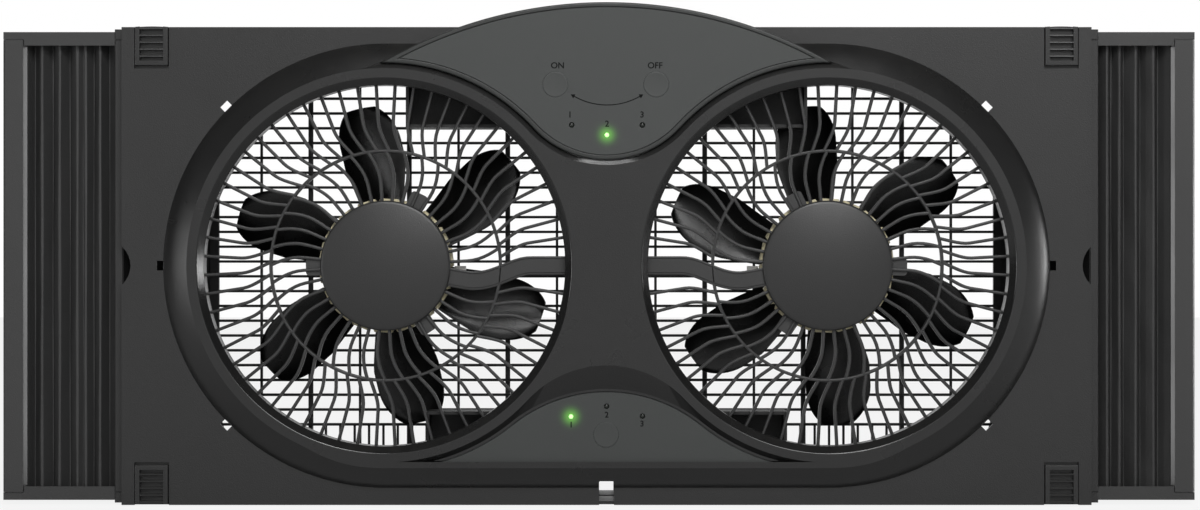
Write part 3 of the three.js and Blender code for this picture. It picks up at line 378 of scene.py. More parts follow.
mouldedSurface = buildMouldedSurface()
settledDust = buildSettledDust()
paintedEdgeHighlight = buildPaintedEdgeHighlight()
pleatedVinyl = buildPleatedVinyl()
drawnMetal = buildDrawnMetal()
lampGlow = buildLampGlow()
print("shader groups built")


def placeGroup(tree, group, values):
    made = tree.nodes.new("ShaderNodeGroup")
    made.node_tree = group
    for key, value in values.items():
        made.inputs[key].default_value = value
    return made


def blendColour(tree, mask, low, high):
    mix = tree.nodes.new("ShaderNodeMix")
    mix.data_type = "RGBA"
    for socket, item in ((mix.inputs[0], mask), (mix.inputs[6], low), (mix.inputs[7], high)):
        if isinstance(item, (tuple, float, int)):
            socket.default_value = item
        else:
            tree.links.new(item, socket)
    return mix.outputs[2]


def tinted(tree, colour, tone):
    scaled = tree.nodes.new("ShaderNodeVectorMath")
    scaled.operation = "SCALE"
    scaled.inputs[0].default_value = colour[:3]
    tree.links.new(tone, scaled.inputs["Scale"])
    return scaled.outputs[0]


def bumpFrom(tree, height, strength, distance):
    bump = addNode(tree, "ShaderNodeBump", {"Strength": strength, "Distance": distance}, {"Height": height})
    return bump.outputs[0]


def newFinish(name):
    material = bpy.data.materials.new(name)
    material.use_nodes = True
    tree = material.node_tree
    return material, tree, tree.nodes["Principled BSDF"]


def mouldedFinish(name, look):
    material, tree, shader = newFinish(name)
    surface = placeGroup(tree, mouldedSurface, {
        "Grain Size": look["grain"], "Grain Depth": 1.0, "Drift": 0.12})
    dust = placeGroup(tree, settledDust, {"Amount": look.get("dust", 0.05)})
    # sharp edges turn paler: painted highlight
    edge = placeGroup(tree, paintedEdgeHighlight, {"Strength": look.get("edge", 0.15)})
    base = tinted(tree, look["colour"], surface.outputs["Tone"])
    pale = tuple(min(c * 1.8 + 0.01, 1) for c in look["colour"][:3]) + (1,)
    edgeHighlighted = blendColour(tree, edge.outputs["Mask"], base, pale)
    feed(tree, shader, {
        "Base Color": blendColour(tree, dust.outputs["Mask"], edgeHighlighted, shade(150, 147, 142)),
        "Roughness": plus(tree, times(tree, surface.outputs["Gloss Drift"], 0.15), look["rough"]),
        "Normal": bumpFrom(tree, surface.outputs["Height"], look["bump"], 0.0002)})
    shader.inputs["IOR"].default_value = 1.5
    shader.inputs["Specular IOR Level"].default_value = look.get("specular", 0.5)
    return material


def metalFinish(name, look):
    material, tree, shader = newFinish(name)
    lines = placeGroup(tree, drawnMetal, {"Line Scale": look["lines"]})
    dust = placeGroup(tree, settledDust, {"Amount": 0.1})
    base = tinted(tree, look["colour"], lines.outputs["Tone"])
    feed(tree, shader, {
        "Base Color": blendColour(tree, dust.outputs["Mask"], base, shade(120)),
        "Roughness": plus(tree, times(tree, lines.outputs["Height"], 0.2), look["rough"]),
        "Normal": bumpFrom(tree, lines.outputs["Height"], 0.2, 0.0001)})
    shader.inputs["Metallic"].default_value = 1.0
    return material


def vinylFinish(name, look):
    material, tree, shader = newFinish(name)
    cloth = placeGroup(tree, pleatedVinyl, {"Rib Pitch": look["pitch"], "Crease": look["crease"]})
    dust = placeGroup(tree, settledDust, {"Amount": 0.06})
    base = tinted(tree, look["colour"], cloth.outputs["Tone"])
    feed(tree, shader, {
        "Base Color": blendColour(tree, dust.outputs["Mask"], base, shade(120)),
        "Roughness": times(tree, cloth.outputs["Tone"], look["rough"]),
        "Normal": bumpFrom(tree, cloth.outputs["Height"], look["bump"], 0.0003)})
    return material


def overlayFinish(name, look):  # printed face sheet, with light spreading round its lit lamp
    material = mouldedFinish(name, look)
    tree = material.node_tree
    shader = tree.nodes["Principled BSDF"]
    glow = placeGroup(tree, lampGlow, {
        "Lamp X": look["lamp"][0], "Lamp Z": look["lamp"][1], "Spread": look["spread"]})
    feed(tree, shader, {"Emission Color": tinted(tree, look["glow"], glow.outputs["Glow"])})
    shader.inputs["Emission Strength"].default_value = 1.0
    return material


def lampFinish(name, look):
    material, tree, shader = newFinish(name)
    facing = tree.nodes.new("ShaderNodeLayerWeight")
    cloudy = placeGroup(tree, mouldedSurface, {"Grain Size": 2.0, "Grain Depth": 1.0, "Drift": 0.3})
    feed(tree, shader, {
        "Base Color": tinted(tree, look["colour"], cloudy.outputs["Tone"]),
        "Emission Color": blendColour(tree, facing.outputs["Facing"], look["core"], look["rim"])})
    shader.inputs["Emission Strength"].default_value = look["strength"]
    shader.inputs["Roughness"].default_value = 0.2
    return material


mouldedLooks = {
    "charcoalPlastic": {"colour": shade(35), "rough": 0.36, "grain": 1.0, "bump": 0.3},
    "bezelPlastic": {"colour": shade(32), "rough": 0.29, "grain": 0.9, "bump": 0.22},
    "sidePlastic": {"colour": shade(50), "rough": 0.38, "grain": 1.0, "bump": 0.3},
    "grillePlastic": {"colour": shade(50), "rough": 0.36, "grain": 0.8, "bump": 0.2},
    "panelPlastic": {"colour": shade(44, 46, 45), "rough": 0.34, "grain": 0.9, "bump": 0.2},
    "capPlastic": {"colour": shade(41), "rough": 0.34, "grain": 0.9, "bump": 0.22},
    "blackPlastic": {"colour": shade(16), "rough": 0.5, "grain": 1.4, "bump": 0.3},
    "bladePlastic": {"colour": shade(9), "rough": 0.26, "grain": 2.0, "bump": 0.05, "dust": 0.02,
                     "edge": 0.05},
    "guardPlastic": {"colour": shade(17), "rough": 0.5, "grain": 1.2, "bump": 0.25},
    "rearPlastic": {"colour": shade(46), "rough": 0.45, "grain": 1.2, "bump": 0.35},
    "bushRubber": {"colour": shade(17), "rough": 0.75, "grain": 1.6, "bump": 0.3},
    "coilCage": {"colour": shade(228, 216, 176), "rough": 0.5, "grain": 1.0, "bump": 0.2, "dust": 0.1},
    "plugWhite": {"colour": shade(236, 234, 228), "rough": 0.45, "grain": 1.0, "bump": 0.15},
    "boardGreen": {"colour": shade(36, 84, 54), "rough": 0.4, "grain": 1.5, "bump": 0.2},
    "printDark": {
        "colour": shade(14, 15, 15), "rough": 0.7, "grain": 1.0, "bump": 0.1, "edge": 0.0, "specular": 0.12},
    "flarePlastic": {"colour": shade(30), "rough": 0.13, "grain": 1.4, "bump": 0.1, "edge": 0.1},
    "shadowPlastic": {
        "colour": shade(7), "rough": 0.8, "grain": 1.4, "bump": 0.2, "edge": 0.0, "specular": 0.06},
    # darker, duller plastic for the slope over the function panel: painted shade
    "recessPaintedShade": {
        "colour": shade(24), "rough": 0.5, "grain": 1.4, "bump": 0.2, "edge": 0.1, "specular": 0.3},
}
finishes = {name: mouldedFinish(name, look) for name, look in mouldedLooks.items()}
metalLooks = {
    "zincSteel": {"colour": shade(150, 150, 146), "rough": 0.4, "lines": 700.0},
    "shaftSteel": {"colour": shade(170), "rough": 0.25, "lines": 1500.0},
}
finishes.update({name: metalFinish(name, look) for name, look in metalLooks.items()})
finishes["curtainVinyl"] = vinylFinish(
    "curtainVinyl", {"colour": shade(52), "rough": 0.48, "pitch": 0.9, "crease": 0.16, "bump": 0.35})
lampPlaces = {
    "speed": [(-22.0, 240.8), (0.2, 234.6), (22.6, 240.8)],
    "function": [(-22.5, 56.6), (0.0, 63.1), (22.7, 56.9)],
}
buttonPlaces = {"speed": (-32.4, 266.4), "off": (31.3, 266.4), "function": (-0.3, 45.1)}


def lampSpot(group, index):
    x, z = lampPlaces[group][index]
    return ((x + housing["shift"]) * 0.001, z * 0.001)


overlayLook = {"colour": shade(58, 60.5, 59.5), "rough": 0.42, "grain": 0.7, "bump": 0.12, "edge": 0.05,
               "spread": 0.0042, "glow": (0.11, 0.42, 0.03, 1)}
litLamps = {"speed": 1, "function": 0}
for group, lit in litLamps.items():
    sheetLook = {**overlayLook, "lamp": lampSpot(group, lit)}
    finishes[group + "Overlay"] = overlayFinish(group + "Overlay", sheetLook)
finishes["buttonCap"] = mouldedFinish("buttonCap", {**overlayLook, "colour": shade(59, 61.5, 60.5)})
lampLooks = {
    "lampLit": {"colour": shade(120, 230, 110), "core": (0.62, 1.0, 0.42, 1), "rim": (0.3, 0.95, 0.16, 1),
                "strength": 1.3},
    "lampDark": {"colour": shade(30, 34, 30), "core": (0.0, 0.0, 0.0, 1), "rim": (0.01, 0.012, 0.01, 1),
                 "strength": 0.2},
}
finishes.update({name: lampFinish(name, look) for name, look in lampLooks.items()})
print("finishes built:", len(finishes))


# ---------- outlines shared by the bezel and the panels between the fans
def waist(neck, tipHeight, tipAngle, steps):
    toTip = math.atan2(tipHeight - fanZ, fanX)
    tipRadius = math.hypot(fanX, tipHeight - fanZ) - neck
    flank = arc(-fanX, fanZ, neck, tipAngle, toTip, steps)
    up = tipHeight > fanZ
    start = toTip - math.pi if up else toTip + math.pi
    half = flank + arc(0, tipHeight, tipRadius, start, -math.pi / 2 if up else math.pi / 2, steps)[1:]
    return half + [(-x, z) for x, z in reversed(half[:-1])]


crown = {"radius": 280.6, "centreZ": 34.6, "neck": 131.4, "toeZ": 282.05, "rim": 3.2, "groove": 2.9,
         "toeHalf": 10.0, "toeFade": 14.0, "depth": 18.5, "sheet": 0.6, "gap": 0.3, "outerRound": 1.1,
         "innerRound": 0.5, "sheetEdge": 0.15}


def crownOutline(grow, steps=30):
    neck, upper = crown["neck"] - grow, crown["radius"] + grow
    rise = fanZ - crown["centreZ"]
    gap = math.hypot(fanX, rise)
    reach = (upper ** 2 - neck ** 2 + gap ** 2) / (2 * gap)
    offset = math.sqrt(upper ** 2 - reach ** 2)
    alongX, alongZ = -fanX / gap, rise / gap
    tipX = reach * alongX + offset * alongZ
    tipZ = crown["centreZ"] + reach * alongZ - offset * alongX
    lower = waist(neck, crown["toeZ"], math.atan2(tipZ - fanZ, tipX + fanX), steps)
    turn = math.atan2(tipZ - crown["centreZ"], -tipX)
    return lower + arc(0, crown["centreZ"], upper, turn, math.pi - turn, 2 * steps)[1:-1]


recess = {"depth": 3.5, "neck": 124.2, "archZ": 21.3, "panelNeck": 129.2, "panelArchZ": -22.9, "foot": 26.8,
          "rim": 1.9, "lap": 2.0, "sheetStand": 0.9, "inset": 0.3, "slopeHalf": 105, "slopeLow": 23.8,
          "slopeHigh": 95}


def archOutline(neck, archZ, foot, steps=30):
    tipAngle = -math.asin(min((fanZ - foot) / neck, 0.998))
    return list(reversed(waist(neck, archZ, tipAngle, steps)))


def functionOutline(grow):
    return archOutline(recess["panelNeck"] - grow, recess["panelArchZ"], recess["foot"] - grow / 2)


def radialBlock(sign, degrees, r0, r1, width, y0, y1):
    turn = math.radians(degrees)
    along, across = Vector((math.cos(turn), math.sin(turn))), Vector((-math.sin(turn), math.cos(turn)))
    middle = Vector((sign * fanX, fanZ))
    corners = [middle + along * r + across * w for r, w in
               ((r0, -width / 2), (r1, -width / 2), (r1, width / 2), (r0, width / 2))]
    return slab([tuple(c) for c in corners], y0, y1)


# ---------- front bezel
bezel = {"baseRadius": 141.0, "faceRadius": 124.8, "lowReach": 3.0, "wall": 2.5, "opening": 114.3,
         "chamferWidth": 4.3, "chamferDepth": 4.2, "lipWall": 3.0, "hookWidth": 5.0, "hookThickness": 1.8,
         "hookReach": 6.0, "notchWidth": 9.5, "notchHeight": 15.5, "edgeRound": 1.5,
         # the shoulder from the face's edge (0, 0) to the plate (1, 1)
         "shoulder": [(0, 0), (0.15, 0.1), (0.35, 0.245), (0.55, 0.4), (0.7, 0.545), (0.8, 0.665), (0.88, 0.78),
                      (0.94, 0.885), (0.98, 0.965), (1, 1)]}


def bezelOutline(size, share, inset, steps=90):  # round both fans; near the sill the face reaches lower
    out = []
    for sign, start in ((1, -90), (-1, 90)):
        for i in range(steps + 1):
            turn = math.radians(start + 180 * i / steps)
            face = size["faceRadius"] + size["lowReach"] * easedStep((-math.sin(turn) - 0.9) / 0.1)
            radius = face + (size["baseRadius"] - face) * share - inset
            out.append((sign * fanX + radius * math.cos(turn), fanZ + radius * math.sin(turn)))
    return out


def flaredMouth(size, x, faceY, lipY):  # the lip to add and the opening to cut
    wide, opening = size["opening"] + size["chamferWidth"], size["opening"]
    lip = [(0, faceY + size["wall"] / 2), (wide + size["lipWall"], faceY + size["wall"] / 2),
           (opening + size["lipWall"], lipY), (0, lipY)]
    mouth = rounded([
        (0, faceY - 1, 0), (wide + 4, faceY - 1, 0), (wide + 4, faceY - 0.02, 0),
        (wide, faceY, size["edgeRound"]), (opening, faceY + size["chamferDepth"], 0.6),
        (opening, lipY + 1, 0), (0, lipY + 1, 0)])
    return turned(lip, x, fanZ, 160), turned(mouth, x, fanZ, 160)


def snapHooks(size, sign, baseY):
    outer = size["baseRadius"] - housing["seat"]
    inner, stop = outer - size["hookThickness"], housing["plateY"] + size["hookReach"]
    turns = [degrees if sign > 0 else 180 - degrees for degrees in (-45, 0, 45)]
    return [radialBlock(sign, turn, inner, outer, size["hookWidth"], baseY - 1, stop) for turn in turns]


def crownGroove(faceY):  # shallow at the toe and deeper beside it
    edge, groove = crown["rim"] + crown["gap"], crown["groove"]
    # outwards, back at the toe, further back beside it
    levels = [(groove + 1.8, -1, 0), (groove + 0.35, -0.02, 0), (groove - 0.25, 0.1, 0.2), (0.3, 0.85, 1.05),
              (0, 0.95, 1.35), (0, 13, 0)]
    points, faces = loft([(crownOutline(edge + grow), faceY + shallow) for grow, shallow, deeper in levels])
    count = len(points) // len(levels)
    for i, (x, y, z) in enumerate(points):
        away = easedStep((abs(x) - crown["toeHalf"]) / crown["toeFade"])
        points[i] = (x, y + levels[i // count][2] * away, z)
    return points, faces


def recessForms(size, faceY):  # the cut over the function panel, and the sloping floor under it
    lap, rim, backY = recess["lap"], recess["rim"], faceY + recess["depth"]
    foot = recess["foot"] - rim

    def archAt(grow, drop):
        return archOutline(recess["neck"] + grow, recess["archZ"], foot - drop)

    cut = loft([(archAt(0, 0), faceY - 1), (archAt(0, 0), faceY), (functionOutline(rim), backY)])
    slope = loft([(archAt(-lap, lap), faceY + size["wall"] / 2),
                  (functionOutline(rim + lap), backY + size["wall"])])
    return cut, carved("recessFloor", slope, cuts=[slab(functionOutline(0.3), faceY - 1, housing["plateY"])])


def colourSlopes(mesh, size):  # the flares are glossier, and the slope over the function panel gets a darker finish, which is painted shade
    for finishName in ("flarePlastic", "recessPaintedShade"):
        mesh.materials.append(finishes[finishName])
    for face in mesh.polygons:
        if not -0.99 < face.normal.y < -0.05:
            continue
        x, z = face.center.x * 1000 - housing["shift"], face.center.z * 1000
        reach = min(math.hypot(x - fanX, z - fanZ), math.hypot(x + fanX, z - fanZ))
        if reach < size["faceRadius"] - 0.1:
            face.material_index = 1
        elif abs(x) < recess["slopeHalf"] and recess["slopeLow"] < z < recess["slopeHigh"]:
            face.material_index = 2


def makeBezel(size):
    faceY, baseY, wall = housing["bezelY"], housing["plateY"] - housing["seat"], size["wall"]
    rise = baseY - faceY
    outer = loft([(bezelOutline(size, share, 0), faceY + rise * depth) for share, depth in size["shoulder"]])
    hollow = loft([(bezelOutline(size, share, wall), faceY + wall + (rise - wall) * depth)
                   for share, depth in size["shoulder"]] + [(bezelOutline(size, 1, wall), baseY + 1)])
    slopeCut, slope = recessForms(size, faceY)
    adds, cuts = [slope], []
    for name, sign in sides:
        lip, mouth = flaredMouth(size, sign * fanX, faceY, housing["grilleY"] - housing["seat"])
        adds += [lip] + snapHooks(size, sign, baseY)
        cuts.append(mouth)
    half, top = size["notchWidth"] / 2, size["notchHeight"]
    sill = slab(rounded([(-half, -2, 0), (half, -2, 0), (half, top, 0.8), (-half, top, 0.8)]), faceY - 2,
                housing["plateY"] + 1)
    shell = carved("bezelShell", outer, cuts=[hollow])
    mesh = carved("bezel_cover", shell, adds, cuts + [crownGroove(faceY), slopeCut, sill])
    finishPiece("bezel_cover", mesh, "bezelPlastic", "housing", ["front_bezel"], 22)
    colourSlopes(mesh, size)


makeBezel(bezel)
print("bezel made")


# ---------- control panel on top, function panel below
buttonCap = {"radius": 8.0, "gap": 0.1, "dish": 0.1, "flange": 1.2}
lamp = {"hole": 1.8, "radius": 1.5, "sink": 0.1, "dome": 0.9, "length": 4}
speedFrontY = housing["panelY"] + crown["gap"]
functionFrontY = housing["bezelY"] + recess["depth"] - recess["sheetStand"]
panelButtons = {"speed": ("speed", "off"), "function": ("function",)}


def panelHoles(group, frontY):
    radius = buttonCap["radius"] + buttonCap["gap"]
    holes = [disc(*buttonPlaces[name], radius, frontY - 1, frontY + 8) for name in panelButtons[group]]
    return holes + [disc(x, z, lamp["hole"], frontY - 1, frontY + 8, 24) for x, z in lampPlaces[group]]


def makeFaceSheet(group, outline, inset, frontY, holes, node):
    edge = crown["sheetEdge"]
    form = loft([(outline(-inset), frontY + crown["sheet"]), (outline(-inset), frontY + edge),
                 (outline(-inset - edge), frontY)])
    name = group + "_face_sheet"
    finishPiece(name, carved(name, form, cuts=holes), group + "Overlay", "housing", [node], 28)


def makeCrownPanel(size):
    front, rim, gap = housing["panelY"], size["rim"], size["gap"]
    quarter = [math.pi / 2 * i / 5 for i in range(6)]
    outer, inner = size["outerRound"], size["innerRound"]
    sections = [(rim, front + size["depth"]), (rim, front + outer)]
    sections += [(rim - outer * (1 - math.cos(turn)),
                  front + outer * (1 - math.sin(turn))) for turn in quarter[1:]]
    sections += [(gap + inner * (1 - math.sin(turn)),
                  front + inner * (1 - math.cos(turn))) for turn in quarter]
    sections.append((gap, front + 2 * gap + size["sheet"]))
    form = loft([(crownOutline(grow), y) for grow, y in sections])
    holes = panelHoles("speed", front)
    finishPiece("crown_panel", carved("crown_panel", form, cuts=holes), "panelPlastic", "housing",
                ["top_control_panel"], 28)
    makeFaceSheet("speed", crownOutline, 0, speedFrontY, holes, "top_overlay")


def makeButton(name, frontY, flangeY):
    x, z = buttonPlaces[name]
    radius, dish, flange = buttonCap["radius"], buttonCap["dish"], buttonCap["flange"]
    profile = [(0, frontY + dish), (radius - 2.4, frontY + dish * 0.8), (radius - 1.2, frontY + dish * 0.2),
               (radius - 0.7, frontY), (radius - 0.12, frontY + 0.02), (radius, frontY + 0.12),
               (radius, flangeY), (radius + flange, flangeY), (radius + flange, flangeY + flange),
               (0, flangeY + flange)]
    finishPiece(name + "_button_cap", turned(profile, x, z, 64), "buttonCap", name + "_push",
                [name + "_button"], 40)


makeCrownPanel(crown)
makeFaceSheet("function", functionOutline, recess["inset"], functionFrontY,
              panelHoles("function", functionFrontY), "function_overlay")
for buttonName, frontY, flangeY in (("speed", speedFrontY, -51.5), ("off", speedFrontY, -51.5),
                                    ("function", functionFrontY, -47.2)):
    makeButton(buttonName, frontY, flangeY)
print("panels made")

# ---------- front grilles
grille = {"rim": 119.7, "opening": 114.3, "depth": 5.0, "ring": 73.0, "ringWidth": 2.0, "ribWidth": 2.1,
          "outerRibs": 60, "innerRibs": 40, "hub": 41.3, "hubHole": 22.0, "armWidth": 12.0, "armDepth": 8.5,
          "lugs": (64, 181, 304), "lugWidth": 11.0, "lugReach": 9.5, "sweep": 10.2, "sweepStart": 52.0,
          "sweepEnd": 92.0}


def swirlAngle(radius):
    share = (radius - grille["sweepStart"]) / (grille["sweepEnd"] - grille["sweepStart"])
    return -grille["sweep"] * (1 - easedStep(share))


def fanPoint(sign, radius, degrees):
    turn = math.radians(degrees)
    return sign * (fanX - radius * math.cos(turn)), fanZ + radius * math.sin(turn)


def swirlPath(sign, degrees, r0, r1, steps):
    radii = [r0 + (r1 - r0) * i / steps for i in range(steps + 1)]
    return [fanPoint(sign, r, degrees + swirlAngle(r)) for r in radii]


def makeGrille(name, sign, size):
    front, back = housing["grilleY"], housing["grilleY"] + size["depth"]
    half = size["ribWidth"] / 2
    ribSection = rounded([(-half, front, 0.75), (half, front, 0.75), (half * 0.9, back, 0.3),
                          (-half * 0.9, back, 0.3)], steps=4)
    forms = []
    zones = ((size["innerRibs"], size["hub"] - 3, size["ring"], 10),
             (size["outerRibs"], size["ring"], size["opening"] + 1.5, 16))
    for count, r0, r1, steps in zones:
        for i in range(1, count - 1):
            forms.append(bar(swirlPath(sign, (i + 0.5) * 360 / count, r0, r1, steps), ribSection))
    ring = size["ringWidth"] / 2
    ringProfile = rounded([(size["ring"] - ring, front, 0.7), (size["ring"] + ring, front, 0.7),
                           (size["ring"] + ring, back, 0.3), (size["ring"] - ring, back, 0.3)], steps=4)
    rimProfile = rounded([(size["opening"], front, 0.5), (size["rim"], front, 0.3), (size["rim"], back, 0.3),
                          (size["opening"], back, 0.5)], steps=3)
    hubProfile = rounded([(size["hubHole"], front, 0.3), (size["hub"], front, 0.5), (size["hub"], back, 0.5),
                          (size["hubHole"], back, 0.3)], steps=3)
    for profile in (ringProfile, rimProfile, hubProfile):
        forms.append(turned(profile, sign * fanX, fanZ, 180))
    wide = size["armWidth"] / 2
    inner = wide - 1.5
    armSection = rounded([
        (-wide, front, 0.6), (-inner - 0.25, front, 0), (-inner, front + 0.3, 0), (-inner + 0.25, front, 0),
        (inner - 0.25, front, 0), (inner, front + 0.3, 0), (inner + 0.25, front, 0), (wide, front, 0.6),
        (wide, back, 0.3), (wide - 2, back, 0), (wide - 2, front + size["armDepth"], 0.5),
        (2 - wide, front + size["armDepth"], 0.5), (2 - wide, back, 0), (-wide, back, 0.3)], steps=4)
    forms.append(bar(swirlPath(sign, 0, size["hub"] - 1, size["opening"] + 1.2, 24), armSection))
    r0, r1, wideLug = size["hub"] - 4, size["hub"] + size["lugReach"], size["lugWidth"] / 2
    lug = rounded([(r0, -wideLug, 0), (r1, -wideLug, 2.2), (r1, wideLug, 2.2), (r0, wideLug, 0)], steps=5)
    for degrees in size["lugs"]:
        angle = math.radians(180 - degrees if sign > 0 else degrees)
        cosine, sine = math.cos(angle), math.sin(angle)
        spun = [(sign * fanX + r * cosine - w * sine, fanZ + r * sine + w * cosine) for r, w in lug]
        forms.append(slab(spun, back - 3, back))
    finishPiece(name + "_swirl_grille", together(*forms), "grillePlastic", "housing",
                [name + "_front_grille"], 40)


def makeHubCap(name, sign, size):
    backY, radius = housing["grilleY"] - housing["seat"], size["radius"]
    rimY = backY - size["edge"]
    profile = [(radius * 0.95 * i / 14, rimY - size["dome"] * (1 - (i / 14) ** 2)) for i in range(15)]
    profile += [(radius - 0.9, rimY + 0.25), (radius - 0.3, rimY + 0.7), (radius, rimY + 1.4),
                (radius, backY), (0, backY)]
    finishPiece(name + "_dome_cap", turned(profile, sign * fanX, fanZ, 160), "capPlastic", "housing",
                [name + "_hub_cap"], 30)


for sideName, sideSign in sides:
    makeGrille(sideName, sideSign, grille)
    makeHubCap(sideName, sideSign, {"radius": 41.3, "dome": 3.2, "edge": 3.0})
print("grilles made")

# ---------- impellers
impeller = {"radius": 104.0, "hub": 35.0, "frontY": -5.7, "backY": 27.3, "wall": 2.4, "edge": 4.0,
            "bore": 4.3, "count": 6, "rootChord": 26.0, "middleChord": 42.0, "tipChord": 41.0,
            "rootTwist": 25.0, "tipTwist": 15.0, "thickness": 2.0, "camber": 2.5, "tipStart": 0.7,
            "tipRound": 0.34, "sweep": 3.0, "first": {"left": 38, "right": 21}}


def bladeForm(sign, degrees, size, along=22, across=14):
    middleY = (size["frontY"] + size["backY"]) / 2
    root = size["hub"] - size["wall"] / 2
    points, faces = [], []
    for side in (-1, 1):
        for i in range(along + 1):
            share = 1 - (1 - i / along) ** 1.6
            radius = root + (size["radius"] - root) * share
            closing = math.sqrt(max(1 - max((share - size["tipStart"]) / size["tipRound"], 0) ** 2, 0))
            if share < 0.5:
                chord = size["rootChord"] + (size["middleChord"] - size["rootChord"]) * 2 * share
            else:
                chord = size["middleChord"] + (size["tipChord"] - size["middleChord"]) * (2 * share - 1)
            chord *= closing
            twist = (size["rootTwist"] + (size["tipTwist"] - size["rootTwist"]) * share) * closing
            for j in range(across + 1):
                place = -0.5 * math.cos(math.pi * j / across)
                turn = degrees + size["sweep"] * share * share + math.degrees(place * chord / radius)
                x, z = fanPoint(sign, radius, turn)
                thin = size["thickness"] / 2 * math.sqrt(max(1 - (2 * place) ** 6, 0))
                thin *= 1 if i < along else 0.3
                y = middleY + place * twist - size["camber"] * (1 - 4 * place * place) + side * thin
                points.append((x, y, z))
    row = across + 1
    sheet = (along + 1) * row
    for i in range(along):
        for j in range(across):
            a = i * row + j
            faces.append((a, a + 1, a + row + 1, a + row))
            faces.append((sheet + a, sheet + a + row, sheet + a + row + 1, sheet + a + 1))
        for a in (i * row, i * row + across):
            faces.append((a, a + row, sheet + a + row, sheet + a))
    for j in range(across):
        for a in (j, along * row + j):
            faces.append((a, sheet + a, sheet + a + 1, a + 1))
    return points, faces


def makeImpeller(name, sign, size):
    hub, edge, wall, bore = size["hub"], size["edge"], size["wall"], size["bore"]
    front, back = size["frontY"], size["backY"]
    profile = rounded([
        (hub - wall, front, 0.4), (hub, front, 0.6), (hub, back - edge, 2.0), (hub - edge, back, 2.0),
        (bore, back, 0.3), (bore, front + edge, 0.3), (bore + 2 * wall, front + edge, 0.5),
        (bore + 2 * wall, back - wall, 0.5), (hub - edge - wall / 2, back - wall, 1.0),
        (hub - wall, back - edge, 1.0)], steps=4)
    forms = [turned(profile, sign * fanX, fanZ, 96)]
    for i in range(size["count"]):
        forms.append(bladeForm(sign, size["first"][name] + 360 * i / size["count"], size))
    finishPiece(name + "_bladed_wheel", together(*forms), "bladePlastic", name + "_fan",
                [name + "_impeller"], 50)


for sideName, sideSign in sides:
    makeImpeller(sideName, sideSign, impeller)
print("impellers made")

# ---------- pleated curtains, from the housing side out
curtain = {
    "bottom": 4.6, "top": 298.9, "thickness": 0.8, "frontY": -27.0, "backY": -17.0,
    # distance from the housing's side wall, and how far forward the fold comes (1 is the crest)
    "left": [(6.2, 0.3), (11.6, 0.0), (16.0, 1.0), (21.2, 0.0), (25.6, 0.97), (26.8, 0.5), (30.7, 0.98),
             (36.5, 0.0), (41.9, 1.0), (47.4, 0.0), (53.1, 1.0), (58.9, 0.0), (62.4, 0.9)],
    "right": [(6.2, 0.1), (12.6, 0.97), (15.8, 0.0), (20.4, 1.0), (23.7, 0.0), (31.1, 0.98), (34.3, 0.0),
              (42.5, 1.0), (45.7, 0.0), (52.8, 0.97)],
    "keep": {"left": 0.184, "right": 0.221},
}


def makeCurtain(name, sign, size):
    path = []
    for distance, forward in size[name]:
        y = size["backY"] + (size["frontY"] - size["backY"]) * forward
        path.append((sign * (housing["halfWidth"] + distance), y, 0.9))
    line = rounded(path, closed=False, steps=5)
    half = size["thickness"] / 2
    front, back = [], []
    for i, here in enumerate(line):
        before, after = line[max(i - 1, 0)], line[min(i + 1, len(line) - 1)]
        along = Vector((after[0] - before[0], after[1] - before[1])).normalized()
        front.append((here[0] - along.y * half, here[1] + along.x * half))
        back.append((here[0] + along.y * half, here[1] - along.x * half))
    outline = front + back[::-1]
    count, levels = len(outline), 60
    points, faces = [], []
    for k in range(levels + 1):
        z = size["bottom"] + (size["top"] - size["bottom"]) * k / levels
        for i, (x, y) in enumerate(outline):
            fold = i if i < len(front) else 2 * len(front) - 1 - i
            edge = min(fold, len(front) - 1 - fold) / 4
            sway = 0.12 * math.sin(z / 31 + fold * 0.37) + 0.05 * math.sin(z / 9.1 + fold * 0.83)
            points.append((x + sway * min(edge, 1), y + 0.4 * sway * min(edge, 1), z))
    for k in range(levels):
        for i in range(count):
            a, b = k * count + i, k * count + (i + 1) % count
            faces.append((a, b, b + count, a + count))
    for base in (0, levels * count):
        for i in range(len(front) - 1):
            a, b = base + i, base + count - 1 - i
            faces.append((a, a + 1, b - 1, b))
    piece = finishPiece(name + "_pleats", (points, faces), "curtainVinyl", "housing",
                        [name + "_curtain"], 60, weighted=False)
    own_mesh(piece)


for sideName, sideSign in sides:
    makeCurtain(sideName, sideSign, curtain)
print("curtains made")

# ---------- lamps
def makeLamps(group, frontY, size):
    slopes = [math.radians(degrees) for degrees in range(0, 91, 10)]
    profile = [(size["radius"] * math.sin(a),
                frontY + size["sink"] + size["dome"] * (1 - math.cos(a))) for a in slopes]
    profile += [(size["radius"], frontY + size["length"]), (0, frontY + size["length"])]
    for i, (x, z) in enumerate(lampPlaces[group]):
        finishName, slotName = ("lampLit", "lamp_lit") if i == litLamps[group] else ("lampDark", "lamp_unlit")
        finishPiece(f"{group}_light_{i + 1}", turned(profile, x, z, 32), finishName, "housing",
                    [f"{group}_lamp_{i + 1}"], 40)


makeLamps("speed", speedFrontY, lamp)
makeLamps("function", functionFrontY, lamp)

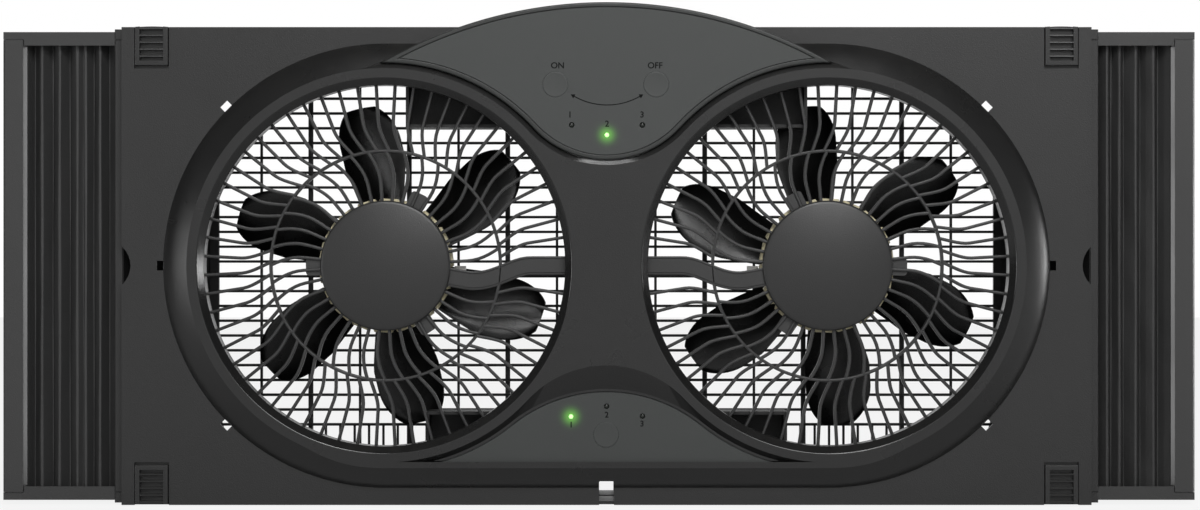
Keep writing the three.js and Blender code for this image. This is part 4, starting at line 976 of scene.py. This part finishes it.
# ---------- printed marks: plain numbers, ON and OFF, and a turning arrow
ink = {"scale": 0.00112, "thick": 0.00004, "bold": 0.00009, "lift": 0.03}
arrow = {"centre": (0.3, 295.3), "radius": 41.9, "start": 240.5, "stop": 299.5, "half": 0.3, "front": -0.08,
         "back": 0.05, "headLength": 2.6, "headHalf": 1.5}
marks = {
    "speed": [("ON", -30.9, 278.2, 4.8), ("OFF", 30.6, 278.2, 4.8), ("1", -23.1, 247.2, 4.8),
              ("2", 0.3, 241.4, 4.8), ("3", 22.4, 247.2, 4.8)],
    "function": [("1", -22.4, 51.4, 4.6), ("2", 0.1, 57.6, 4.6), ("3", 22.4, 52.0, 4.6)],
}


def makeMark(name, words, x, z, tall, frontY):
    letters = bpy.data.curves.new(name, "FONT")
    letters.body, letters.size, letters.extrude = words, tall * ink["scale"], ink["thick"]
    letters.align_x, letters.align_y = "CENTER", "CENTER"
    letters.offset = ink["bold"]
    temporary = looseObject(name + "_text", letters)
    mesh = bpy.data.meshes.new_from_object(temporary)
    bpy.data.objects.remove(temporary)
    place = Matrix.Translation(((x + housing["shift"]) * 0.001, (frontY - ink["lift"]) * 0.001, z * 0.001))
    mesh.transform(place @ Matrix.Rotation(math.pi / 2, 4, "X"))
    finishPiece(name, mesh, "printDark", "housing", weighted=False)


def makeArrow(size, frontY):  # an arc with a head at each end
    front, back, half = frontY + size["front"], frontY + size["back"], size["half"]
    path = arc(*size["centre"], size["radius"], math.radians(size["start"]), math.radians(size["stop"]), 28)
    forms = [bar(path, [(-half, front), (half, front), (half, back), (-half, back)])]
    for end, near in ((0, 1), (-1, -2)):
        tip, inner = Vector(path[end]), Vector(path[near])
        along = (tip - inner).normalized()
        across = Vector((-along.y, along.x)) * size["headHalf"]
        forms.append(slab([tuple(tip + along * size["headLength"]), tuple(tip + across), tuple(tip - across)],
                          front, back))
    finishPiece("speed_mark_arrow", together(*forms), "printDark", "housing", weighted=False)


for group, frontY in (("speed", speedFrontY), ("function", functionFrontY)):
    for i, (words, x, z, tall) in enumerate(marks[group]):
        makeMark(f"{group}_mark_{i + 1}", words, x, z, tall, frontY)
makeArrow(arrow, speedFrontY)
print("marks made")

# ---------- corner locks and the side channels next to the pleats
lock = {"width": 21.0, "height": 25.0, "inset": 8.6, "stand": 1.5, "border": 3.0, "recess": 4.1, "ribs": 5,
        "ribHigh": 1.5, "ribSink": 0.35, "edge": 0.55, "backY": -37.6, "flangeY": -39.2, "flangeLap": 2.0,
        "flangeTip": 301.0, "pawlY": -31.5, "pawlZ": 296.8, "pawlWide": 6.0, "pawlHigh": 4.0, "crown": 0.5,
        "ribPlace": 0.62, "tips": {"upper": 304.1, "lower": 303.2}}


def makeLock(name, sign, level, size):
    outer, tip, border = housing["halfWidth"] - size["inset"], size["tips"][level], size["border"]
    inner, root, front = outer - size["width"], tip - size["height"], housing["plateY"] - size["stand"]
    middle, half, lap, edge = (inner + outer) / 2, size["width"] / 2, size["flangeLap"], size["edge"]
    wide, high = size["pawlWide"] / 2, size["pawlHigh"] / 2

    def flipped(z):
        return z if level == "upper" else housing["height"] - z

    def prism(x0, x1, y0, y1, z0, z1):
        return block(sign * x0, sign * x1, y0, y1, flipped(z0), flipped(z1))

    def padOutline(shrink):
        crest = [(middle + (half - shrink) * k / 6,
                  tip - shrink - size["crown"] * (k / 6) ** 2) for k in range(-6, 7)]
        foot = root + shrink
        corners = [(outer - shrink, foot)] + crest[::-1] + [(inner + shrink, foot)]
        return [(sign * x, flipped(z)) for x, z in corners]

    pad = loft([(padOutline(edge), front), (padOutline(0.3 * edge), front + 0.3 * edge),
                (padOutline(0), front + edge), (padOutline(0), size["backY"])])
    floorY = front + size["recess"]
    recessCut = prism(inner + border, outer - border, front - 1, floorY, root + border, tip + 1)
    flange = prism(inner - lap, outer + lap, size["flangeY"], size["backY"], root - lap, size["flangeTip"])
    pawl = prism(middle - wide, middle + wide, size["backY"] - 0.5, size["pawlY"], size["pawlZ"] - high,
                 size["pawlZ"] + high)
    body = carved(name + "_face", pad, [flange, pawl], [recessCut])
    ribs, sink, high, deep = [], front + size["ribSink"], size["ribHigh"], floorY + 0.4
    for i in range(size["ribs"]):
        z = root + border + (i + size["ribPlace"]) * (size["height"] - border) / size["ribs"]
        section = rounded([(z - 0.5 * high, deep, 0), (z - 0.3 * high, sink, 0.3),
                           (z + 0.5 * high, sink + 0.2, 0.4), (z + 0.6 * high, deep, 0)], steps=3)
        ends = (inner + border - 0.4, outer - border + 0.4)
        points = [(sign * x, y, flipped(z)) for x in ends for z, y in section]
        count = len(section)
        faces = [(k, (k + 1) % count, count + (k + 1) % count, count + k) for k in range(count)]
        ribs.append((points, faces + [tuple(range(count)), tuple(range(count, 2 * count))]))
    work = bmesh.new()
    work.from_mesh(body)
    work.from_mesh(meshOf(name + "_ribs", together(*ribs)))
    work.to_mesh(body)
    work.free()
    finishPiece(name + "_face", body, "charcoalPlastic", name + "_catch",
                [name + "_lock"], 30)


channel = {"inner": 308.3, "outer": 313.7, "frontY": -33.0, "backY": -11.0, "bottom": 0.8, "top": 302.7,
           "windowFront": -31.5, "windowBack": -12.5, "windowEdge": 2.0, "windowReach": 11.5, "slotDrop": 7.6,
           "slotHigh": 1.1, "slotDepth": 1.2, "edge": 0.5}


def makeChannel(name, sign, size):
    edge, x0, x1, front, back = [size[key] for key in ("edge", "inner", "outer", "frontY", "backY")]

    def outline(shrink):
        low, high, near, far = size["bottom"] + shrink, size["top"] - shrink, x0 + shrink, x1 - shrink
        return [(sign * near, low), (sign * far, low), (sign * far, high), (sign * near, high)]

    blank = loft([(outline(edge), front), (outline(0), front + edge), (outline(0), back - edge),
                  (outline(edge), back)])
    windows = (size["windowEdge"], housing["height"] - size["windowReach"])
    slots = (size["slotDrop"], housing["height"] - size["slotDrop"])
    ends, half = (sign * (x0 - 1), sign * (x1 + 1)), size["slotHigh"] / 2
    tall = size["windowReach"] - size["windowEdge"]
    cuts = [block(*ends, size["windowFront"], size["windowBack"], low, low + tall) for low in windows]
    cuts += [block(*ends, front - 1, front + size["slotDepth"], z - half, z + half) for z in slots]
    finishPiece(name + "_channel", carved(name + "_channel", blank, cuts=cuts), "charcoalPlastic", "housing",
                [name + "_side_channel"], 30)


notch = {"radius": 16.1, "depth": 5.7, "cut": 16.3, "shy": 0.3, "back": 7.1, "thick": 0.6}


# a near-black sheet inside the side notch: painted shade, standing in for the shadow in the notch
def makeNotchPaintedShade(name, sign, size):
    radius, middle = size["radius"], housing["halfWidth"] - size["depth"] + size["cut"]
    half = math.acos((middle - housing["halfWidth"] + size["shy"]) / radius)
    turns = [half * k / 12 for k in range(-12, 13)]
    outline = [(sign * (middle - radius * math.cos(turn)), fanZ + radius * math.sin(turn)) for turn in turns]
    front = housing["plateY"] + size["back"]
    finishPiece(name + "_notch_painted_shade", slab(outline, front, front + size["thick"]), "shadowPlastic",
                "housing")


for sideName, sideSign in sides:
    makeChannel(sideName, sideSign, channel)
    makeNotchPaintedShade(sideName, sideSign, notch)
    for level in ("upper", "lower"):
        makeLock(f"{sideName}_{level}", sideSign, level, lock)
print("locks and side channels made")

# ---------- fine uprights low in the rear guard
guard = {"pitch": 9.55, "count": 52, "width": 1.5, "low": 28.0, "high": 46.0, "frontY": 49.4, "backY": 52.2}


def makeGuardUprights(size):
    forms = []
    for i in range(size["count"]):
        x = (i - (size["count"] - 1) / 2) * size["pitch"]
        forms.append(block(x - size["width"] / 2, x + size["width"] / 2, size["frontY"], size["backY"],
                           size["low"], size["high"]))
    finishPiece("guard_uprights", together(*forms), "guardPlastic", "housing", angle=30)


makeGuardUprights(guard)

# ---------- CAD nodes that stay: finish and softened edges
nodeFinishes = {
    "front_shell": ("charcoalPlastic", 0.35), "rear_shell": ("rearPlastic", 0.4),
    "rear_guard": ("guardPlastic", 0.0), "cord_inlet": ("bushRubber", 0.0),
    "top_panel_cover": ("blackPlastic", 0.0), "function_panel": ("panelPlastic", 0.0),
    "control_board": ("boardGreen", 0.0), "function_board": ("boardGreen", 0.0),
    "top_wiring_box": ("blackPlastic", 0.0), "bottom_wiring_box": ("blackPlastic", 0.0),
}
for sideName, sideSign in sides:
    nodeFinishes.update({
        f"{sideName}_motor": ("zincSteel", 0.0), f"{sideName}_winding": ("coilCage", 0.0),
        f"{sideName}_connector": ("plugWhite", 0.3), f"{sideName}_motor_shaft": ("shaftSteel", 0.0),
        f"{sideName}_impeller_nut": ("bladePlastic", 0.4), f"{sideName}_end_bar": ("sidePlastic", 0.5),
        f"{sideName}_upper_rail": ("sidePlastic", 0.35), f"{sideName}_lower_rail": ("sidePlastic", 0.35),
    })
    for screwNumber in (1, 2, 3):
        nodeFinishes[f"{sideName}_case_screw_{screwNumber}"] = ("zincSteel", 0.0)
for nodeName, (finishName, edgeRound) in nodeFinishes.items():
    node = nodes[nodeName]
    node.data.materials.clear()
    node.data.materials.append(finishes[finishName])
    if edgeRound:
        soften = node.modifiers.new("softEdge", "BEVEL")
        soften.width, soften.segments = edgeRound * 0.001, 2
        soften.limit_method, soften.angle_limit = "ANGLE", math.radians(40)
        soften.use_clamp_overlap = True
        soften.harden_normals = True
print("kept nodes finished:", len(nodeFinishes))

# ---------- stage, lights and camera
ground = {"half": 6, "drop": -0.0005, "colour": shade(238), "rough": 0.9, "white": 0.86, "mirrorTo": 0.5}


def makeFloor(look):  # white to the camera, and to reflections only behind the fan
    work = bmesh.new()
    bmesh.ops.create_grid(work, x_segments=2, y_segments=2, size=look["half"])
    mesh = bpy.data.meshes.new("floor")
    work.to_mesh(mesh)
    work.free()
    floor = looseObject("floor", mesh)
    floor.location = (0, 0, look["drop"])
    material, tree, shader = newFinish("paleFloor")
    shader.inputs["Base Color"].default_value = look["colour"]
    shader.inputs["Roughness"].default_value = look["rough"]
    shader.inputs["Specular IOR Level"].default_value = 0.0
    rays = tree.nodes.new("ShaderNodeLightPath").outputs
    spot = tree.nodes.new("ShaderNodeNewGeometry")
    behind = ramp(tree, splitUp(tree, spot.outputs["Position"])["Y"], 0.0, look["mirrorTo"])
    mirrored = times(tree, math2(tree, "MAXIMUM", rays["Is Glossy Ray"], rays["Is Transmission Ray"]), behind)
    seen = math2(tree, "MAXIMUM", rays["Is Camera Ray"], mirrored)
    white = addNode(tree, "ShaderNodeEmission", {"Color": (1, 1, 1, 1), "Strength": 1.0})
    mix = addNode(tree, "ShaderNodeMixShader", None, {
        0: times(tree, seen, look["white"]), 1: shader.outputs[0], 2: white.outputs[0]})
    feed(tree, tree.nodes["Material Output"], {"Surface": mix.outputs[0]})
    mesh.materials.append(material)


# brightness ahead of the fan and all round, and where the two fields fade along Y
studio = {"front": 0.82, "ambient": 0.04, "frontFade": (-0.95, -0.66), "backFade": (0.45, 0.8)}


def makeWorld(look):
    world = bpy.data.worlds.new("studio")
    world.use_nodes = True
    bpy.context.scene.world = world
    tree = world.node_tree
    rays = tree.nodes.new("ShaderNodeLightPath").outputs
    along = splitUp(tree, tree.nodes.new("ShaderNodeTexCoord").outputs["Generated"])["Y"]
    level = plus(tree, ramp(tree, along, *look["frontFade"], look["front"], 0.0),
                 ramp(tree, along, *look["backFade"], look["ambient"], 1.0))
    grey = addNode(tree, "ShaderNodeCombineColor", None, {0: level, 1: level, 2: level})
    back = tree.nodes["Background"]
    feed(tree, back, {"Color": blendColour(tree, rays["Is Camera Ray"], grey.outputs[0], (1.0, 1.0, 1.0, 1))})
    back.inputs["Strength"].default_value = 1.0


lamps = {
    "keyLight": {"place": (0.45, -2.3, 1.5), "size": (1.0, 1.0), "power": 22},
    "rightBox": {"place": (1.9, 0.15, 0.2), "size": (0.24, 0.3), "power": 7.5},
    "flareBox": {"place": (1.9, -0.34, 0.2), "size": (0.16, 0.3), "power": 2.6},
    "leftBox": {"place": (-1.7, -1.12, 0.2), "size": (0.6, 0.4), "power": 4.4},
    "topBox": {"place": (0.0, -1.45, 1.46), "size": (0.5, 0.35), "power": 8},
}


def makeLight(name, look):
    light = bpy.data.lights.new(name, "AREA")
    light.shape = "RECTANGLE"
    light.size, light.size_y = look["size"]
    light.energy = look["power"]
    made = looseObject(name, light)
    made.location = look["place"]
    made.rotation_euler = (Vector((0, 0, 0.15)) - Vector(look["place"])).to_track_quat("-Z", "Y").to_euler()


makeFloor(ground)
makeWorld(studio)
for lightName, look in lamps.items():
    makeLight(lightName, look)

view = {"place": (0.00065, -2.042, 0.15875), "lens": 94.49}
camera = bpy.data.cameras.new("camera")
camera.lens, camera.sensor_width = view["lens"], 36.0
cameraObject = looseObject("camera", camera)
cameraObject.location = view["place"]
cameraObject.rotation_euler = (math.pi / 2, 0, 0)
bpy.context.scene.camera = cameraObject
bpy.context.scene.view_settings.view_transform = "Standard"
print("stage, lights and camera set")
